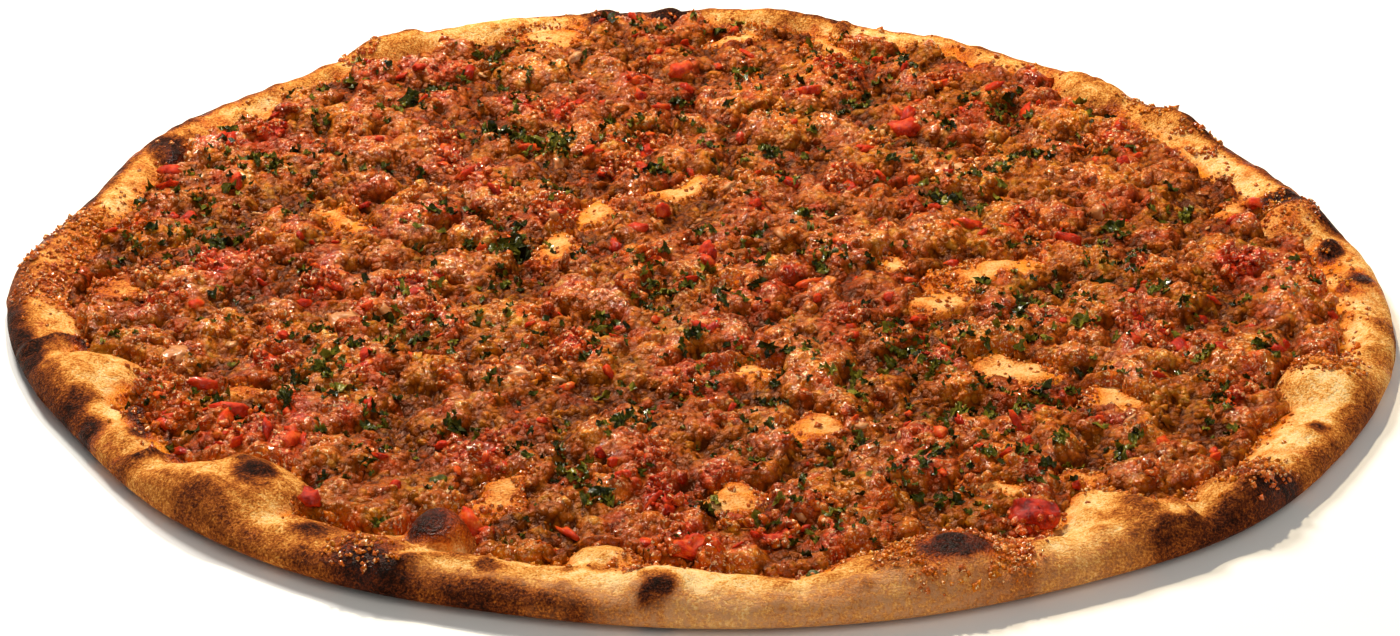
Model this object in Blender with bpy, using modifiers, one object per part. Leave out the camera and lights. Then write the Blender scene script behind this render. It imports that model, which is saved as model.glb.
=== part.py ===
"""Lahmacun: a thin hand-stretched flatbread with a puffed, folded rim, baked under a layer of spiced mince
with pieces of tomato and onion.

One object for each sub-part: the dough in one piece, the mince in one piece, and each piece of tomato or
onion as large as a berry. The origin is the middle of the flat underside and +Z is up. Sizes are in
millimetres here, and MM turns them into metres.
"""

import math
import random

import bmesh
import bpy
from mathutils import Matrix, Vector, noise

MM = 0.001

# Driving dimensions.
FLOOR = 3.0  # height of the rolled dough under the mince
NOSE = 3.4  # height of the outermost point of the rim
SHOULDER = 6.0  # how far in the rounded upper side of the rim reaches
UNDERCUT = 11.0  # how far in the rounded underside of the rim reaches
MINCE = 3.4  # usual thickness of the mince
MINCE_EDGE = 0.5  # thickness of the mince at its border, as a share of the usual one
EDGE_TAPER = 9.0  # how far in from its border the mince reaches full thickness
LUMP = 17.0  # size of a lump of mince
LUMP_RISE = 4.6  # height between a hollow and a lump
GAP = 0.3  # clearance between neighbouring solids
CLEAR_RISE = 0.9  # the mince stops where the dough rises this far above its floor
TOMATO_HEIGHT = 6.0
ONION_HEIGHT = 5.4
BUBBLE_RISE = 2.4  # how far a bare bubble stands above the floor
KEPT_BELOW = 0.6  # dough left whole under a blister
CHAMFER = 1.8  # how much is taken off the edges of a piece
JITTER = 0.14  # how uneven the corners of cut pieces are, as a share of their half size

# How finely the solids are divided.
SEGMENTS = 96  # sections round the rim
UNDER_STEPS = (12.0, 6.0, 2.0)  # rings of the underside, in from the edge
OVER_STEPS = (0.0, 1.4, 4.6)  # rings of the rim's upper side, in from the edge
SLOPE_SHARES = (0.3, 0.65, 1.0)  # rings of the rim's inner slope, as shares of the way to the mince
FLOOR_SHARE = 0.92  # ring under the mince, as a share of its reach
MINCE_CELL = 9.6  # spacing of the points on the mince's upper side

# Radius of the outer edge, every 15 degrees from +X towards +Y.
EDGE_RADIUS = (
    151.8, 147.0, 144.0, 145.5, 148.5, 150.5, 152.0, 156.0, 153.5, 149.0, 150.0, 147.0,
    153.0, 151.2, 148.2, 149.8, 149.9, 148.0, 148.7, 150.3, 152.0, 155.8, 155.2, 154.8,
)  # fmt: skip
# Width of the rim and its rise above the floor, every 30 degrees.
RIM_WIDTH = (11.0, 12.0, 9.0, 9.0, 10.0, 13.0, 13.0, 13.0, 15.0, 15.0, 14.0, 14.0)
RIM_RISE = (3.6, 3.8, 3.6, 3.8, 3.9, 3.8, 4.2, 4.4, 4.6, 4.8, 4.6, 4.4)

# Puffs and folds of the rim: x, y, half length, half width, rise, the way the steep side faces in degrees,
# and how many times steeper that side is.
PUFFS = (
    (-133, -49, 21, 16, 6.3, 112, 2.6),
    (-102, -99, 24, 21, 6.8, 106, 2.6),
    (-88, -101, 17, 11, 6.0, 60, 1.6),
    (-62, -131, 16, 14, 4.8, 60, 1.0),
    (-18, -126, 10, 9, 6.2, 90, 1.2),
    (-7, -141, 9, 9, 5.8, 90, 1.0),
    (37, -136, 14, 11, 5.6, 90, 1.3),
    (50, -127, 15, 12, 7.4, 90, 1.2),
    (88, -112, 20, 17, 6.4, 48, 2.4),
    (112, -103, 15, 11, 6.6, 25, 2.0),
    (132, -54, 15, 13, 7.0, 165, 1.5),
    (136, 27, 14, 10, 6.8, 120, 1.8),
    (117, 79, 8, 15, 6.6, 35, 1.0),
    (97, 99, 8, 12, 6.2, 45, 1.0),
    (-78, 127, 9, 17, 7.0, 120, 1.0),
    (-53, 138, 8, 14, 5.2, 110, 1.0),
    (20, 146, 8, 22, 5.8, 85, 1.0),
)
# Small round blisters: x, y, half length along X, half length along Y, height of the top.
BLISTERS = (
    (-51, -118, 6.5, 7.5, 12.4),
    (128, -78, 4.8, 4.4, 9.2),
    (145, -9, 4.2, 5.0, 8.4),
    (143, 11, 3.6, 4.4, 8.6),
    (-126, 62, 5.0, 7.0, 9.6),
    (-8, 148, 6.0, 4.6, 8.6),
    (37, 140, 3.6, 4.2, 8.6),
    (-24, 147, 6.5, 4.5, 8.4),
)
# Bare dough that shows through the mince, domed by the oven: x, y, length, width, turn in degrees.
BARE_PATCHES = (
    (-84, 30, 17, 10, -45),
    (-23, 31, 15, 9, 80),
    (-31, 13, 16, 9, 75),
    (-4, 44, 24, 9, 30),
    (66, 1, 27, 11, 15),
    (55, -14, 13, 9, 60),
    (68, -47, 20, 12, -35),
    (88, -61, 15, 8, -40),
    (24, -72, 14, 10, 90),
    (11, -48, 12, 9, 0),
    (-98, -58, 13, 7, 0),
    (-40, -101, 20, 9, 58),
    (7, -103, 12, 9, 20),
    (61, -97, 14, 7, -20),
)

# Pieces as large as a berry: x, y, length, width, turn in degrees.
TOMATO_PIECES = (
    (-32, 29, 9, 8, 20),
    (-12, 67, 9, 8, 80),
    (-18, 53, 11, 7, 75),
    (35, 45, 12, 8, 65),
    (99, 68, 13, 11, 20),
    (35, 108, 12, 9, 90),
    (80, 17, 9, 8, 0),
    (97, -28, 13, 8, -40),
    (113, -58, 9, 8, 10),
    (67, -113, 11, 9, 0),
    (16, -116, 10, 8, 0),
    (-10, -88, 8, 7, 80),
    (-6, -103, 11, 6, -70),
    (-46, -85, 13, 11, -50),
    (-2, -124, 12, 7, 10),
    (-109, -70, 10, 7, -30),
    (-113, -59, 9, 7, -15),
    (-93, -75, 12, 7, 30),
    (-90, -45, 8, 8, 0),
    (-116, -17, 9, 7, 80),
    (-84, -10, 9, 7, -20),
    (-66, -11, 8, 7, 0),
    (-27, -43, 8, 7, 60),
    (-2, -57, 8, 7, 90),
    (121, 1, 10, 8, 70),
    (-34, 86, 10, 8, 90),
)
ONION_PIECES = (
    (-111, -43, 10, 8, 60),
    (-122, -4, 11, 7, 80),
    (-76, -27, 10, 8, 0),
    (-52, -53, 9, 6, 80),
    (-38, -52, 9, 7, 0),
    (-63, 34, 9, 6, 20),
    (60, 52, 13, 6, 25),
)


def smoothstep(t):
    t = min(max(t, 0.0), 1.0)
    return t * t * (3.0 - 2.0 * t)


def round_the_clock(values, angle):
    """A smooth value at an angle in radians, through values spaced evenly round the circle."""
    place = angle / math.tau * len(values)
    first = math.floor(place)
    t = place - first
    a, b, c, d = (values[(first + step) % len(values)] for step in (-1, 0, 1, 2))
    return b + 0.5 * t * (c - a + t * (2 * a - 5 * b + 4 * c - d + t * (3 * (b - c) + d - a)))


def puff_rise(x, y, puff):
    """Rise of one puff of the rim at x, y: a dome whose one side falls away more steeply."""
    centre_x, centre_y, length, width, rise, faces, steeper = puff
    turn = math.radians(faces)
    along = ((x - centre_x) * math.cos(turn) + (y - centre_y) * math.sin(turn)) / length
    across = ((y - centre_y) * math.cos(turn) - (x - centre_x) * math.sin(turn)) / width
    if along > 0.0:
        along *= steeper
    inside = 1.0 - along * along - across * across
    return rise * inside**0.7 if inside > 0.0 else 0.0


def rim_rise(x, y):
    """Rise of the rim above the floor: the plain roll round the edge blended with the puffs."""
    angle = math.atan2(y, x) % math.tau
    from_edge = round_the_clock(EDGE_RADIUS, angle) - math.hypot(x, y)
    width = round_the_clock(RIM_WIDTH, angle)
    fall = smoothstep((width - from_edge) / (0.62 * width))
    rises = [round_the_clock(RIM_RISE, angle) * fall]
    rises += [puff_rise(x, y, puff) for puff in PUFFS]
    return sum(rise**3 for rise in rises) ** (1 / 3)


def dough_top(x, y):
    """Height of the dough's upper surface, rounded down to the nose at the outer edge."""
    angle = math.atan2(y, x) % math.tau
    from_edge = round_the_clock(EDGE_RADIUS, angle) - math.hypot(x, y)
    inward = 1.0 - min(max(from_edge / SHOULDER, 0.0), 1.0)
    return NOSE + (FLOOR + rim_rise(x, y) - NOSE) * math.sqrt(1.0 - inward * inward)


def dough_underside(from_edge):
    """Height of the underside, which curves up to the nose near the edge and is flat further in."""
    inward = 1.0 - min(from_edge / UNDERCUT, 1.0)
    return NOSE * (1.0 - math.sqrt(1.0 - inward * inward))


def find_reach(angle):
    """Radius at which the mince ends, where the floor starts to rise into the rim."""
    radius = round_the_clock(EDGE_RADIUS, angle) - 0.5 * round_the_clock(RIM_WIDTH, angle)
    while rim_rise(radius * math.cos(angle), radius * math.sin(angle)) > CLEAR_RISE:
        radius -= 0.5
    return radius


REACH = [find_reach(math.tau * section / SEGMENTS) for section in range(SEGMENTS)]


def mince_top(x, y):
    """Height of the mince: a lumpy layer that thins towards its border."""
    from_border = round_the_clock(REACH, math.atan2(y, x) % math.tau) - math.hypot(x, y)
    taper = MINCE_EDGE + (1.0 - MINCE_EDGE) * smoothstep(from_border / EDGE_TAPER)
    lump = LUMP_RISE * noise.noise(Vector((x / LUMP, y / LUMP, 0.0)))
    return FLOOR + GAP + (MINCE + lump) * taper


def raised_top(x, y):
    """The dough's upper surface with the clearance added, on which the mince lies."""
    return dough_top(x, y) + GAP


def finish_object(name, builder, material, collection, place=(0.0, 0.0, 0.0), turn=0.0):
    """Turns a bmesh in millimetres into a named object in metres, at its place and turned about Z."""
    builder.transform(Matrix.Scale(MM, 4))
    mesh = bpy.data.meshes.new(name)
    builder.to_mesh(mesh)
    builder.free()
    obj = bpy.data.objects.new(name, mesh)
    collection.objects.link(obj)
    obj.location = Vector(place) * MM
    obj.rotation_euler.z = math.radians(turn)
    if material:
        mesh.materials.append(material)
        mesh.shade_smooth()
        obj.parent = bpy.data.objects["lahmacun"]
    return obj


def spun_solid(name, stations, material, collection):
    """A closed solid: a profile spun round Z, whose points then go where their own station puts them.

    A station is a pair of functions: the radius at an angle, and the height at x and y. The first and the
    last station are the middles of the two sides.
    """
    builder = bmesh.new()
    layer = builder.verts.layers.int.new("station")
    profile = []
    for index in range(len(stations)):
        on_axis = index in (0, len(stations) - 1)
        point = builder.verts.new((0.0 if on_axis else index, 0.0, index))
        point[layer] = index
        profile.append(point)
    edges = [builder.edges.new(pair) for pair in zip(profile, profile[1:])]
    bmesh.ops.spin(
        builder, geom=profile + edges, axis=(0, 0, 1), angle=math.tau, steps=SEGMENTS, use_merge=True
    )
    bmesh.ops.remove_doubles(builder, verts=builder.verts, dist=0.001)
    for point in builder.verts:
        radius_at, height_at = stations[point[layer]]
        angle = math.atan2(point.co.y, point.co.x) % math.tau
        x, y = radius_at(angle) * math.cos(angle), radius_at(angle) * math.sin(angle)
        point.co = x, y, height_at(x, y)
    bmesh.ops.triangulate(builder, faces=builder.faces, quad_method="SHORT_EDGE")
    bmesh.ops.recalc_face_normals(builder, faces=builder.faces)
    return finish_object(name, builder, material, collection)


def inset(from_edge):
    """The radius at a distance in from the outer edge, as a function of the angle."""
    return lambda angle: round_the_clock(EDGE_RADIUS, angle) - from_edge


def reach_share(share):
    """The radius that is this share of the mince's reach, as a function of the angle."""
    return lambda angle: share * REACH[round(angle / math.tau * SEGMENTS) % SEGMENTS]


def slope_share(share):
    """A radius on the rim's inner slope: 0 is at the innermost ring of the rim, 1 at the mince's reach."""
    return lambda angle: (1.0 - share) * inset(OVER_STEPS[-1])(angle) + share * reach_share(1.0)(angle)


def level(height):
    return lambda x, y: height


def upper_stations(height_at):
    """The stations from the outer edge over the rim and the floor to the middle."""
    radii = [inset(step) for step in OVER_STEPS] + [slope_share(share) for share in SLOPE_SHARES]
    radii += [reach_share(FLOOR_SHARE), reach_share(0.0)]
    return [(radius_at, height_at) for radius_at in radii]


def make_dough(material, collection):
    stations = [(reach_share(0.0), level(0.0))]
    stations += [(inset(step), level(dough_underside(step))) for step in UNDER_STEPS]
    return spun_solid("dough", stations + upper_stations(dough_top), material, collection)


def make_mince(material, collection):
    """The mince before anything is taken from it: a square slab with a lumpy upper side."""
    half = max(REACH) + MINCE_CELL
    cells = round(2.0 * half / MINCE_CELL)
    builder = bmesh.new()
    bmesh.ops.create_grid(builder, x_segments=cells, y_segments=cells, size=half)
    upper = set(builder.verts)
    bmesh.ops.extrude_face_region(builder, geom=list(builder.faces), use_keep_orig=True)
    for point in upper:
        point.co.z = mince_top(point.co.x, point.co.y)
    bmesh.ops.recalc_face_normals(builder, faces=builder.faces)
    return finish_object("mince_topping", builder, material, collection)


def make_mince_tools(extent, removed):
    """The outline that bounds the mince, and the dough that is taken from under it."""
    outline = [(reach_share(0.0), level(-1.0)), (reach_share(1.0), level(-1.0))]
    outline += [(reach_share(1.0), level(20.0)), (reach_share(0.0), level(20.0))]
    spun_solid("mince_outline", outline, None, extent)
    raised = [(reach_share(0.0), level(-2.0)), (inset(-3.0), level(-2.0)), (inset(-3.0), raised_top)]
    spun_solid("raised_dough", raised + upper_stations(raised_top), None, removed)


def spheroid(name, centre, half_sizes, turn, collection):
    """A closed spheroid, turned about Z."""
    builder = bmesh.new()
    bmesh.ops.create_uvsphere(builder, u_segments=10, v_segments=6, radius=1.0)
    builder.transform(Matrix.Diagonal((*half_sizes, 1.0)))
    return finish_object(name, builder, None, collection, centre, turn)


def pocket(name, spot, flare, rng, collection):
    """A cutter through the mince: an uneven oval that widens upwards by flare at the mince's surface."""
    x, y, length, width, turn = spot
    depth = 12.0
    flare *= depth / (MINCE + 1.0)
    builder = bmesh.new()
    bmesh.ops.create_cone(
        builder, cap_ends=True, segments=10, radius1=0.5, radius2=0.5 * (1.0 + flare), depth=1.0
    )
    unevenness = [1.0 + rng.uniform(0.0, 2.0) * JITTER for _ in range(10)]
    for point in builder.verts:
        side = round(math.atan2(point.co.y, point.co.x) / math.tau * 10)
        point.co.xy *= unevenness[side % 10] if flare else 1.0
    builder.transform(Matrix.Diagonal((length, width, depth, 1.0)))
    middle = (x, y, FLOOR - 1.0 + 0.5 * depth)
    return finish_object(name, builder, None, collection, middle, turn)


def block(name, spot, half_sizes, bottom, height, material, collection):
    """An uneven box with chamfered edges, laid at a spot. Each corner has its own half length and width."""
    x, y, _, _, turn = spot
    builder = bmesh.new()
    bmesh.ops.create_cube(builder, size=2.0)
    for point in builder.verts:
        half_length, half_width = half_sizes[point.co.x > 0, point.co.y > 0]
        point.co.x *= half_length
        point.co.y *= half_width
        point.co.z = height if point.co.z > 0 else 0.0
    obj = finish_object(name, builder, material, collection, (x, y, bottom), turn)
    chamfer = obj.modifiers.new("Chamfer", "BEVEL")
    chamfer.width = CHAMFER * MM
    chamfer.segments = 1
    chamfer.limit_method = "NONE"
    return obj


def resting_height(x, y, reach):
    """Height just above the highest dough within reach of a spot."""
    turns = [math.tau * step / 12 for step in range(12)]
    around = [(x + reach * math.cos(turn), y + reach * math.sin(turn)) for turn in turns]
    return max(dough_top(*place) for place in [(x, y), *around]) + GAP


def make_pieces(kind, spots, height, rng, material, collection, pockets):
    """Lays the pieces of one vegetable, and cuts the pocket in the mince that each one sits in."""
    for number, spot in enumerate(spots, 1):
        x, y, length, width, _ = spot
        half_sizes, wider = {}, {}
        for corner in ((False, False), (False, True), (True, False), (True, True)):
            half_length = 0.5 * length * (1.0 + rng.uniform(-JITTER, JITTER))
            half_width = 0.5 * width * (1.0 + rng.uniform(-JITTER, JITTER))
            half_sizes[corner] = half_length, half_width
            wider[corner] = half_length + 2 * GAP, half_width + 2 * GAP
        name = f"{kind}_{number:02d}"
        base = resting_height(x, y, 0.75 * length)
        block(name, spot, half_sizes, base, height, material, collection)
        block(f"pocket_{name}", spot, wider, -5.0, 25.0, None, pockets)


def blister_parts(blisters):
    """Spheroids for the rim's blisters and for the domes of the bare patches, to be joined to the dough."""
    for number, (x, y, half_x, half_y, top) in enumerate(BLISTERS, 1):
        middle, half_height = 0.5 * (top + KEPT_BELOW), 0.5 * (top - KEPT_BELOW)
        spheroid(f"blister_{number:02d}", (x, y, middle), (half_x, half_y, half_height), 0, blisters)
    for number, (x, y, length, width, turn) in enumerate(BARE_PATCHES, 1):
        half_sizes = (0.5 * length, 0.5 * width, BUBBLE_RISE)
        spheroid(f"dome_{number:02d}", (x, y, FLOOR), half_sizes, turn, blisters)


def bare_pockets(rng, pockets):
    """Openings in the mince over the bare patches and round the blisters."""
    for number, (x, y, length, width, turn) in enumerate(BARE_PATCHES, 1):
        wider = (x, y, 1.08 * length + GAP, 1.08 * width + GAP, turn)
        pocket(f"bare_{number:02d}", wider, 0.45, rng, pockets)
    for number, (x, y, half_x, half_y, _) in enumerate(BLISTERS, 1):
        wider = (x, y, 2.2 * half_x + 2 * GAP, 2.2 * half_y + 2 * GAP, 0)
        pocket(f"around_blister_{number:02d}", wider, 0.0, rng, pockets)


def combine(obj, operation, helpers):
    """One Boolean with a collection of helper meshes, which aren't parts themselves."""
    for helper in helpers.objects:
        helper.hide_render = True
        helper.display_type = "WIRE"
    modifier = obj.modifiers.new(operation.title(), "BOOLEAN")
    modifier.operation = operation
    modifier.operand_type = "COLLECTION"
    modifier.collection = helpers
    modifier.solver = "EXACT"


def food_material(name, colour, roughness):
    material = bpy.data.materials.new(name)
    material.use_nodes = True
    shader = material.node_tree.nodes["Principled BSDF"]
    shader.inputs["Base Color"].default_value = (*colour, 1.0)
    shader.inputs["Roughness"].default_value = roughness
    shader.inputs["Metallic"].default_value = 0.0
    material.diffuse_color = (*colour, 1.0)
    return material


def new_collection(name, parent):
    collection = bpy.data.collections.new(name)
    parent.children.link(collection)
    return collection


def main():
    for obj in list(bpy.data.objects):
        bpy.data.objects.remove(obj)
    rng = random.Random(12)
    everything = bpy.context.scene.collection
    everything.objects.link(bpy.data.objects.new("lahmacun", None))
    lahmacun = new_collection("lahmacun", everything)
    cutters = new_collection("cutters", everything)
    blisters = new_collection("blisters", cutters)
    extent = new_collection("extent_of_mince", cutters)
    removed = new_collection("taken_from_mince", cutters)

    baked_dough = food_material("baked_dough", (0.68, 0.36, 0.13), 0.7)
    spiced_mince = food_material("spiced_mince", (0.31, 0.09, 0.03), 0.45)
    tomato = food_material("tomato", (0.58, 0.05, 0.02), 0.3)
    onion = food_material("onion", (0.62, 0.33, 0.18), 0.35)

    dough = make_dough(baked_dough, lahmacun)
    blister_parts(blisters)
    combine(dough, "UNION", blisters)

    mince = make_mince(spiced_mince, lahmacun)
    make_mince_tools(extent, removed)
    make_pieces("tomato", TOMATO_PIECES, TOMATO_HEIGHT, rng, tomato, lahmacun, removed)
    make_pieces("onion", ONION_PIECES, ONION_HEIGHT, rng, onion, lahmacun, removed)
    bare_pockets(rng, removed)
    combine(mince, "INTERSECT", extent)
    combine(mince, "DIFFERENCE", removed)
    for solid in (dough, mince):
        solid.modifiers.new("Even shading", "WEIGHTED_NORMAL")


main()
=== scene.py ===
# %% [markdown]
# # Dressing a lahmacun
# A lahmacun is a round of thin bread dough, spread with finely minced meat, tomato, onion, parsley and
# pepper paste, and baked for a few minutes on the stone of a very hot oven. Each part of that story leaves
# something to see: the rim puffs and scorches, the mince shrinks into oily crumbs, and the juices stain the
# bread where it stays bare.
#
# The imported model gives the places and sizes. This lesson lays the fine surface over it: a bread skin, a
# bed of crumbs, and then the loose pieces, from large to small.

import math

import bmesh
import bpy
import numpy as np
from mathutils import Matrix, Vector


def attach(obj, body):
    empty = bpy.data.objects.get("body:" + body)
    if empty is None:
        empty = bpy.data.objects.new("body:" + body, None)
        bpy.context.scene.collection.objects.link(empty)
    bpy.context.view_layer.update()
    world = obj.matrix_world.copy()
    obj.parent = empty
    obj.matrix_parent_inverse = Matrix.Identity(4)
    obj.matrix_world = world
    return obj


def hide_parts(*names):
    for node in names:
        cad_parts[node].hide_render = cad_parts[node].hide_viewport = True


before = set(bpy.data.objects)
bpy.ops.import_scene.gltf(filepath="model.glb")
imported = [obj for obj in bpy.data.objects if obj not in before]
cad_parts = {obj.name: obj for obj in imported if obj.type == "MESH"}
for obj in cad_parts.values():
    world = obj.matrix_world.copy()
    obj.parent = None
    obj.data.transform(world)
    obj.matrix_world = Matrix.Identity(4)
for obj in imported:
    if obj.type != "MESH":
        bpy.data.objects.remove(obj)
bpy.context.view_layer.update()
MM = 0.001

# %% [markdown]
# ## A few tools
# A script that makes thousands of crumbs needs only a handful of helpers. Colours are written as the hex
# values that a designer would pick on a screen, so one function turns them into the linear values that
# Blender's nodes expect. Another adds any shader node, with its settings and links. The rest start a
# material, turn a mesh into a piece, and read or write points and a value for each point, which a material
# can read back by name.


# %% Colour, node and mesh helpers
def linear(hex_code, alpha=1.0):
    """A screen colour such as #DB864A as linear red, green, blue and alpha."""
    parts = [int(hex_code[i : i + 2], 16) / 255 for i in (1, 3, 5)]
    return (*[c / 12.92 if c <= 0.04045 else ((c + 0.055) / 1.055) ** 2.4 for c in parts], alpha)


# The sockets of a Mix node share their names between numbers and colours, so these are the numbers of its
# share and its two colours, and of the colour that comes out. Those of a Math node all have one name.
MIX_SHARE, MIX_FROM, MIX_TO = 0, 6, 7
MIXED = 2


def new_material(name):
    """An empty material, and its tree of nodes."""
    material = bpy.data.materials.new(name)
    material.use_nodes = True
    material.node_tree.nodes.clear()
    return material, material.node_tree


def add(tree, kind, links=None, stops=None, **settings):
    """Adds one node: its settings, its sockets' values or sources, and a colour ramp's stops."""
    node = tree.nodes.new("ShaderNode" + kind)
    for name, value in settings.items():
        setattr(node, name, value)
    for socket, value in (links or {}).items():
        if isinstance(value, bpy.types.NodeSocket):
            tree.links.new(value, node.inputs[socket])
        else:
            node.inputs[socket].default_value = value
    if stops:
        ramp = node.color_ramp
        while len(ramp.elements) < len(stops):
            ramp.elements.new(0.5)
        for element, (place, colour) in zip(ramp.elements, stops):
            element.position = place
            element.color = linear(colour)
    return node


def make_piece(name, mesh, material, nodes=()):
    """Shows a mesh as a piece of the lahmacun, in place of the CAD nodes it stands for."""
    mesh.materials.clear()
    mesh.materials.append(material)
    mesh.shade_smooth()
    piece = bpy.data.objects.new(name, mesh)
    bpy.context.scene.collection.objects.link(piece)
    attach(piece, "root")
    if nodes:
        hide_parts(*nodes)
    print(f"{name}: {sum(len(p.vertices) - 2 for p in mesh.polygons)} triangles")


def write_values(mesh, name, values):
    """Stores one number for each point, for a material to read with an Attribute node."""
    layer = mesh.attributes.new(name, "FLOAT", "POINT")
    layer.data.foreach_set("value", np.asarray(values, dtype=np.float32))


def read_points(mesh):
    """The points of a mesh, in millimetres."""
    flat = np.empty(3 * len(mesh.vertices), dtype=np.float64)
    mesh.vertices.foreach_get("co", flat)
    return flat.reshape(-1, 3) / MM


def write_points(mesh, points):
    """Moves the points of a mesh to these places, in millimetres."""
    mesh.vertices.foreach_set("co", (points * MM).astype(np.float32).ravel())
    mesh.update()


# %% [markdown]
# ## Unevenness
# Nothing on food repeats, so every surface here is built from two kinds of chance. Soft noise rises and
# falls smoothly, like dough that was pressed by fingertips: random heights on a grid, with smooth blends
# between them. Heaps are rounded grains thrown side by side, like crumbs of mince: each grid cell holds one
# grain at a random spot, and the highest grain wins. Both work on whole arrays at once, which keeps a
# hundred thousand points quick, and both have fixed seeds, so the bread is the same each time.


# %% Soft noise and heaps
# Each comes round again after this many cells. For heaps that is wider than the bread, and for soft noise
# from cells of 5 mm up. Its finest wrinkles, of 1.2 mm, come round every 77 mm, which is too fine to notice.
NOISE_CELLS = 64
HEAP_CELLS = 128


def soft_noise(x, y, size, seed):
    """Smooth random values between about -1 and 1, one rise or fall every size millimetres."""
    table = np.random.default_rng(seed).uniform(-1.0, 1.0, (NOISE_CELLS, NOISE_CELLS))
    u, v = np.asarray(x) / size + 1000.5, np.asarray(y) / size + 1000.5
    i, j = np.floor(u).astype(int), np.floor(v).astype(int)
    s, t = u - i, v - j
    s, t = s * s * (3 - 2 * s), t * t * (3 - 2 * t)
    i, j, k, m = (cell % NOISE_CELLS for cell in (i, j, i + 1, j + 1))
    low = table[i, j] * (1 - s) + table[k, j] * s
    high = table[i, m] * (1 - s) + table[k, m] * s
    return low * (1 - t) + high * t


def heaped(x, y, spacing, radius, seed):
    """Height from 0 to 1 over rounded grains lying side by side, and each grain's own random value."""
    table = np.random.default_rng(seed).random((5, HEAP_CELLS, HEAP_CELLS))
    i, j = np.floor(x / spacing).astype(int), np.floor(y / spacing).astype(int)
    best, own = np.zeros(np.shape(x)), np.zeros(np.shape(x))
    for di in (-1, 0, 1):
        for dj in (-1, 0, 1):
            across, along, size, lift, value = table[:, (i + di) % HEAP_CELLS, (j + dj) % HEAP_CELLS]
            dx = x - (i + di + across) * spacing
            dy = y - (j + dj + along) * spacing
            reach = radius * (0.65 + 0.6 * size)
            inside = 1.0 - (dx * dx + dy * dy) / (reach * reach)
            height = np.sqrt(np.clip(inside, 0.0, None)) * (0.55 + 0.45 * lift)
            own = np.where(height > best, value, own)
            best = np.where(height > best, height, best)
    return best, own


def ease(t):
    """0 up to 0, 1 from 1 on, and a smooth rise in between."""
    t = np.clip(t, 0.0, 1.0)
    return t * t * (3.0 - 2.0 * t)


# %% [markdown]
# ## The bread
# The dough was stretched by hand and laid on the stone. Under the topping it stays as thin as a coin, while
# the free rim fills with steam: it rolls up, folds over itself in a few places and blisters. The bread's
# upper side can be written as one height for each place, which is far easier to control than sculpting:
# a roll round the edge, then domes for the puffs, each with one steep side where the dough folded back.
#
# The bread's outline, its thickness and the heights of its edge and roll are those of the CAD model, which
# keeps the two together. Here the roll is mostly wider, the domes are higher, a few puffs differ, and
# there are more blisters and small bare patches.

# %% Sizes of the bread, in millimetres
FLOOR = 3.0  # height of the rolled dough under the mince
NOSE = 3.4  # height of the outermost point of the rim
SHOULDER = 6.0  # how far in the rounded upper side of the rim reaches
UNDERCUT = 11.0  # how far in the rounded underside of the rim reaches
EDGE_RADIUS = (  # every 15 degrees from +X
    151.8, 147.0, 144.0, 145.5, 148.5, 150.5, 152.0, 156.0, 153.5, 149.0, 150.0, 147.0,
    153.0, 151.2, 148.2, 149.8, 149.9, 148.0, 148.7, 150.3, 152.0, 155.8, 155.2, 154.8,
)  # fmt: skip
RIM_WIDTH = (  # of the roll, every 15 degrees from +X
    14.0, 16.0, 18.0, 12.0, 15.0, 17.0, 9.0, 17.0, 16.0, 13.0, 17.0, 19.0,
    19.0, 20.0, 18.0, 18.0, 20.0, 21.0, 23.0, 24.0, 22.0, 18.0, 21.0, 15.0,
)  # fmt: skip
RIM_RISE = (3.6, 3.8, 3.6, 3.8, 3.9, 3.8, 4.2, 4.4, 4.6, 4.8, 4.6, 4.4)  # every 30 degrees
BUBBLE_RISE = 2.7  # of the domes in the bare patches

# Puffs: x, y, half length, half width, rise, the way the steep side faces in degrees, how much steeper.
PUFFS = (
    (-133, -49, 21, 16, 6.3, 112, 2.6),
    (-102, -99, 24, 21, 7.4, 106, 2.6),
    (-89, -101, 17, 12, 7.6, 60, 1.6),
    (-62, -131, 16, 14, 4.8, 60, 1.0),
    (-18, -127, 8, 8, 4.9, 90, 1.2),
    (-7, -141, 9, 9, 5.8, 90, 1.0),
    (37, -136, 14, 11, 5.6, 90, 1.3),
    (50, -128, 13, 14, 8.6, 90, 1.2),
    (88, -112, 20, 17, 6.4, 48, 2.4),
    (112, -103, 15, 11, 6.6, 25, 2.0),
    (132, -54, 15, 13, 7.0, 165, 1.5),
    (136, 27, 14, 10, 6.8, 120, 1.8),
    (117, 79, 8, 15, 6.6, 35, 1.0),
    (97, 99, 8, 12, 6.2, 45, 1.0),
    (-78, 127, 9, 17, 7.0, 120, 1.0),
    (-53, 138, 8, 14, 5.2, 110, 1.0),
    (20, 146, 8, 22, 5.8, 85, 1.0),
)
# Blisters: x, y, half length along X, half length along Y, height of the top.
BLISTERS = (
    (-51, -119, 6.8, 7.4, 11.8),
    (50, -129, 9.0, 6.0, 12.6),
    (-89, -98, 5.4, 5.0, 11.8),
    (-117, -70, 3.6, 5.5, 8.8),
    (128, -76, 3.2, 3.0, 8.6),
    (145, -9, 4.2, 5.0, 8.4),
    (143, 11, 3.6, 4.4, 8.6),
    (-126, 62, 5.0, 7.0, 9.6),
    (-8, 148, 6.0, 4.6, 8.6),
    (37, 140, 3.6, 4.2, 8.6),
    (-24, 147, 6.5, 4.5, 8.4),
)
CHARRED_BUBBLES = BLISTERS[:2]  # the two big ones at the front
BLISTER_FOOT = 4.0  # height that a blister rises from
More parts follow.
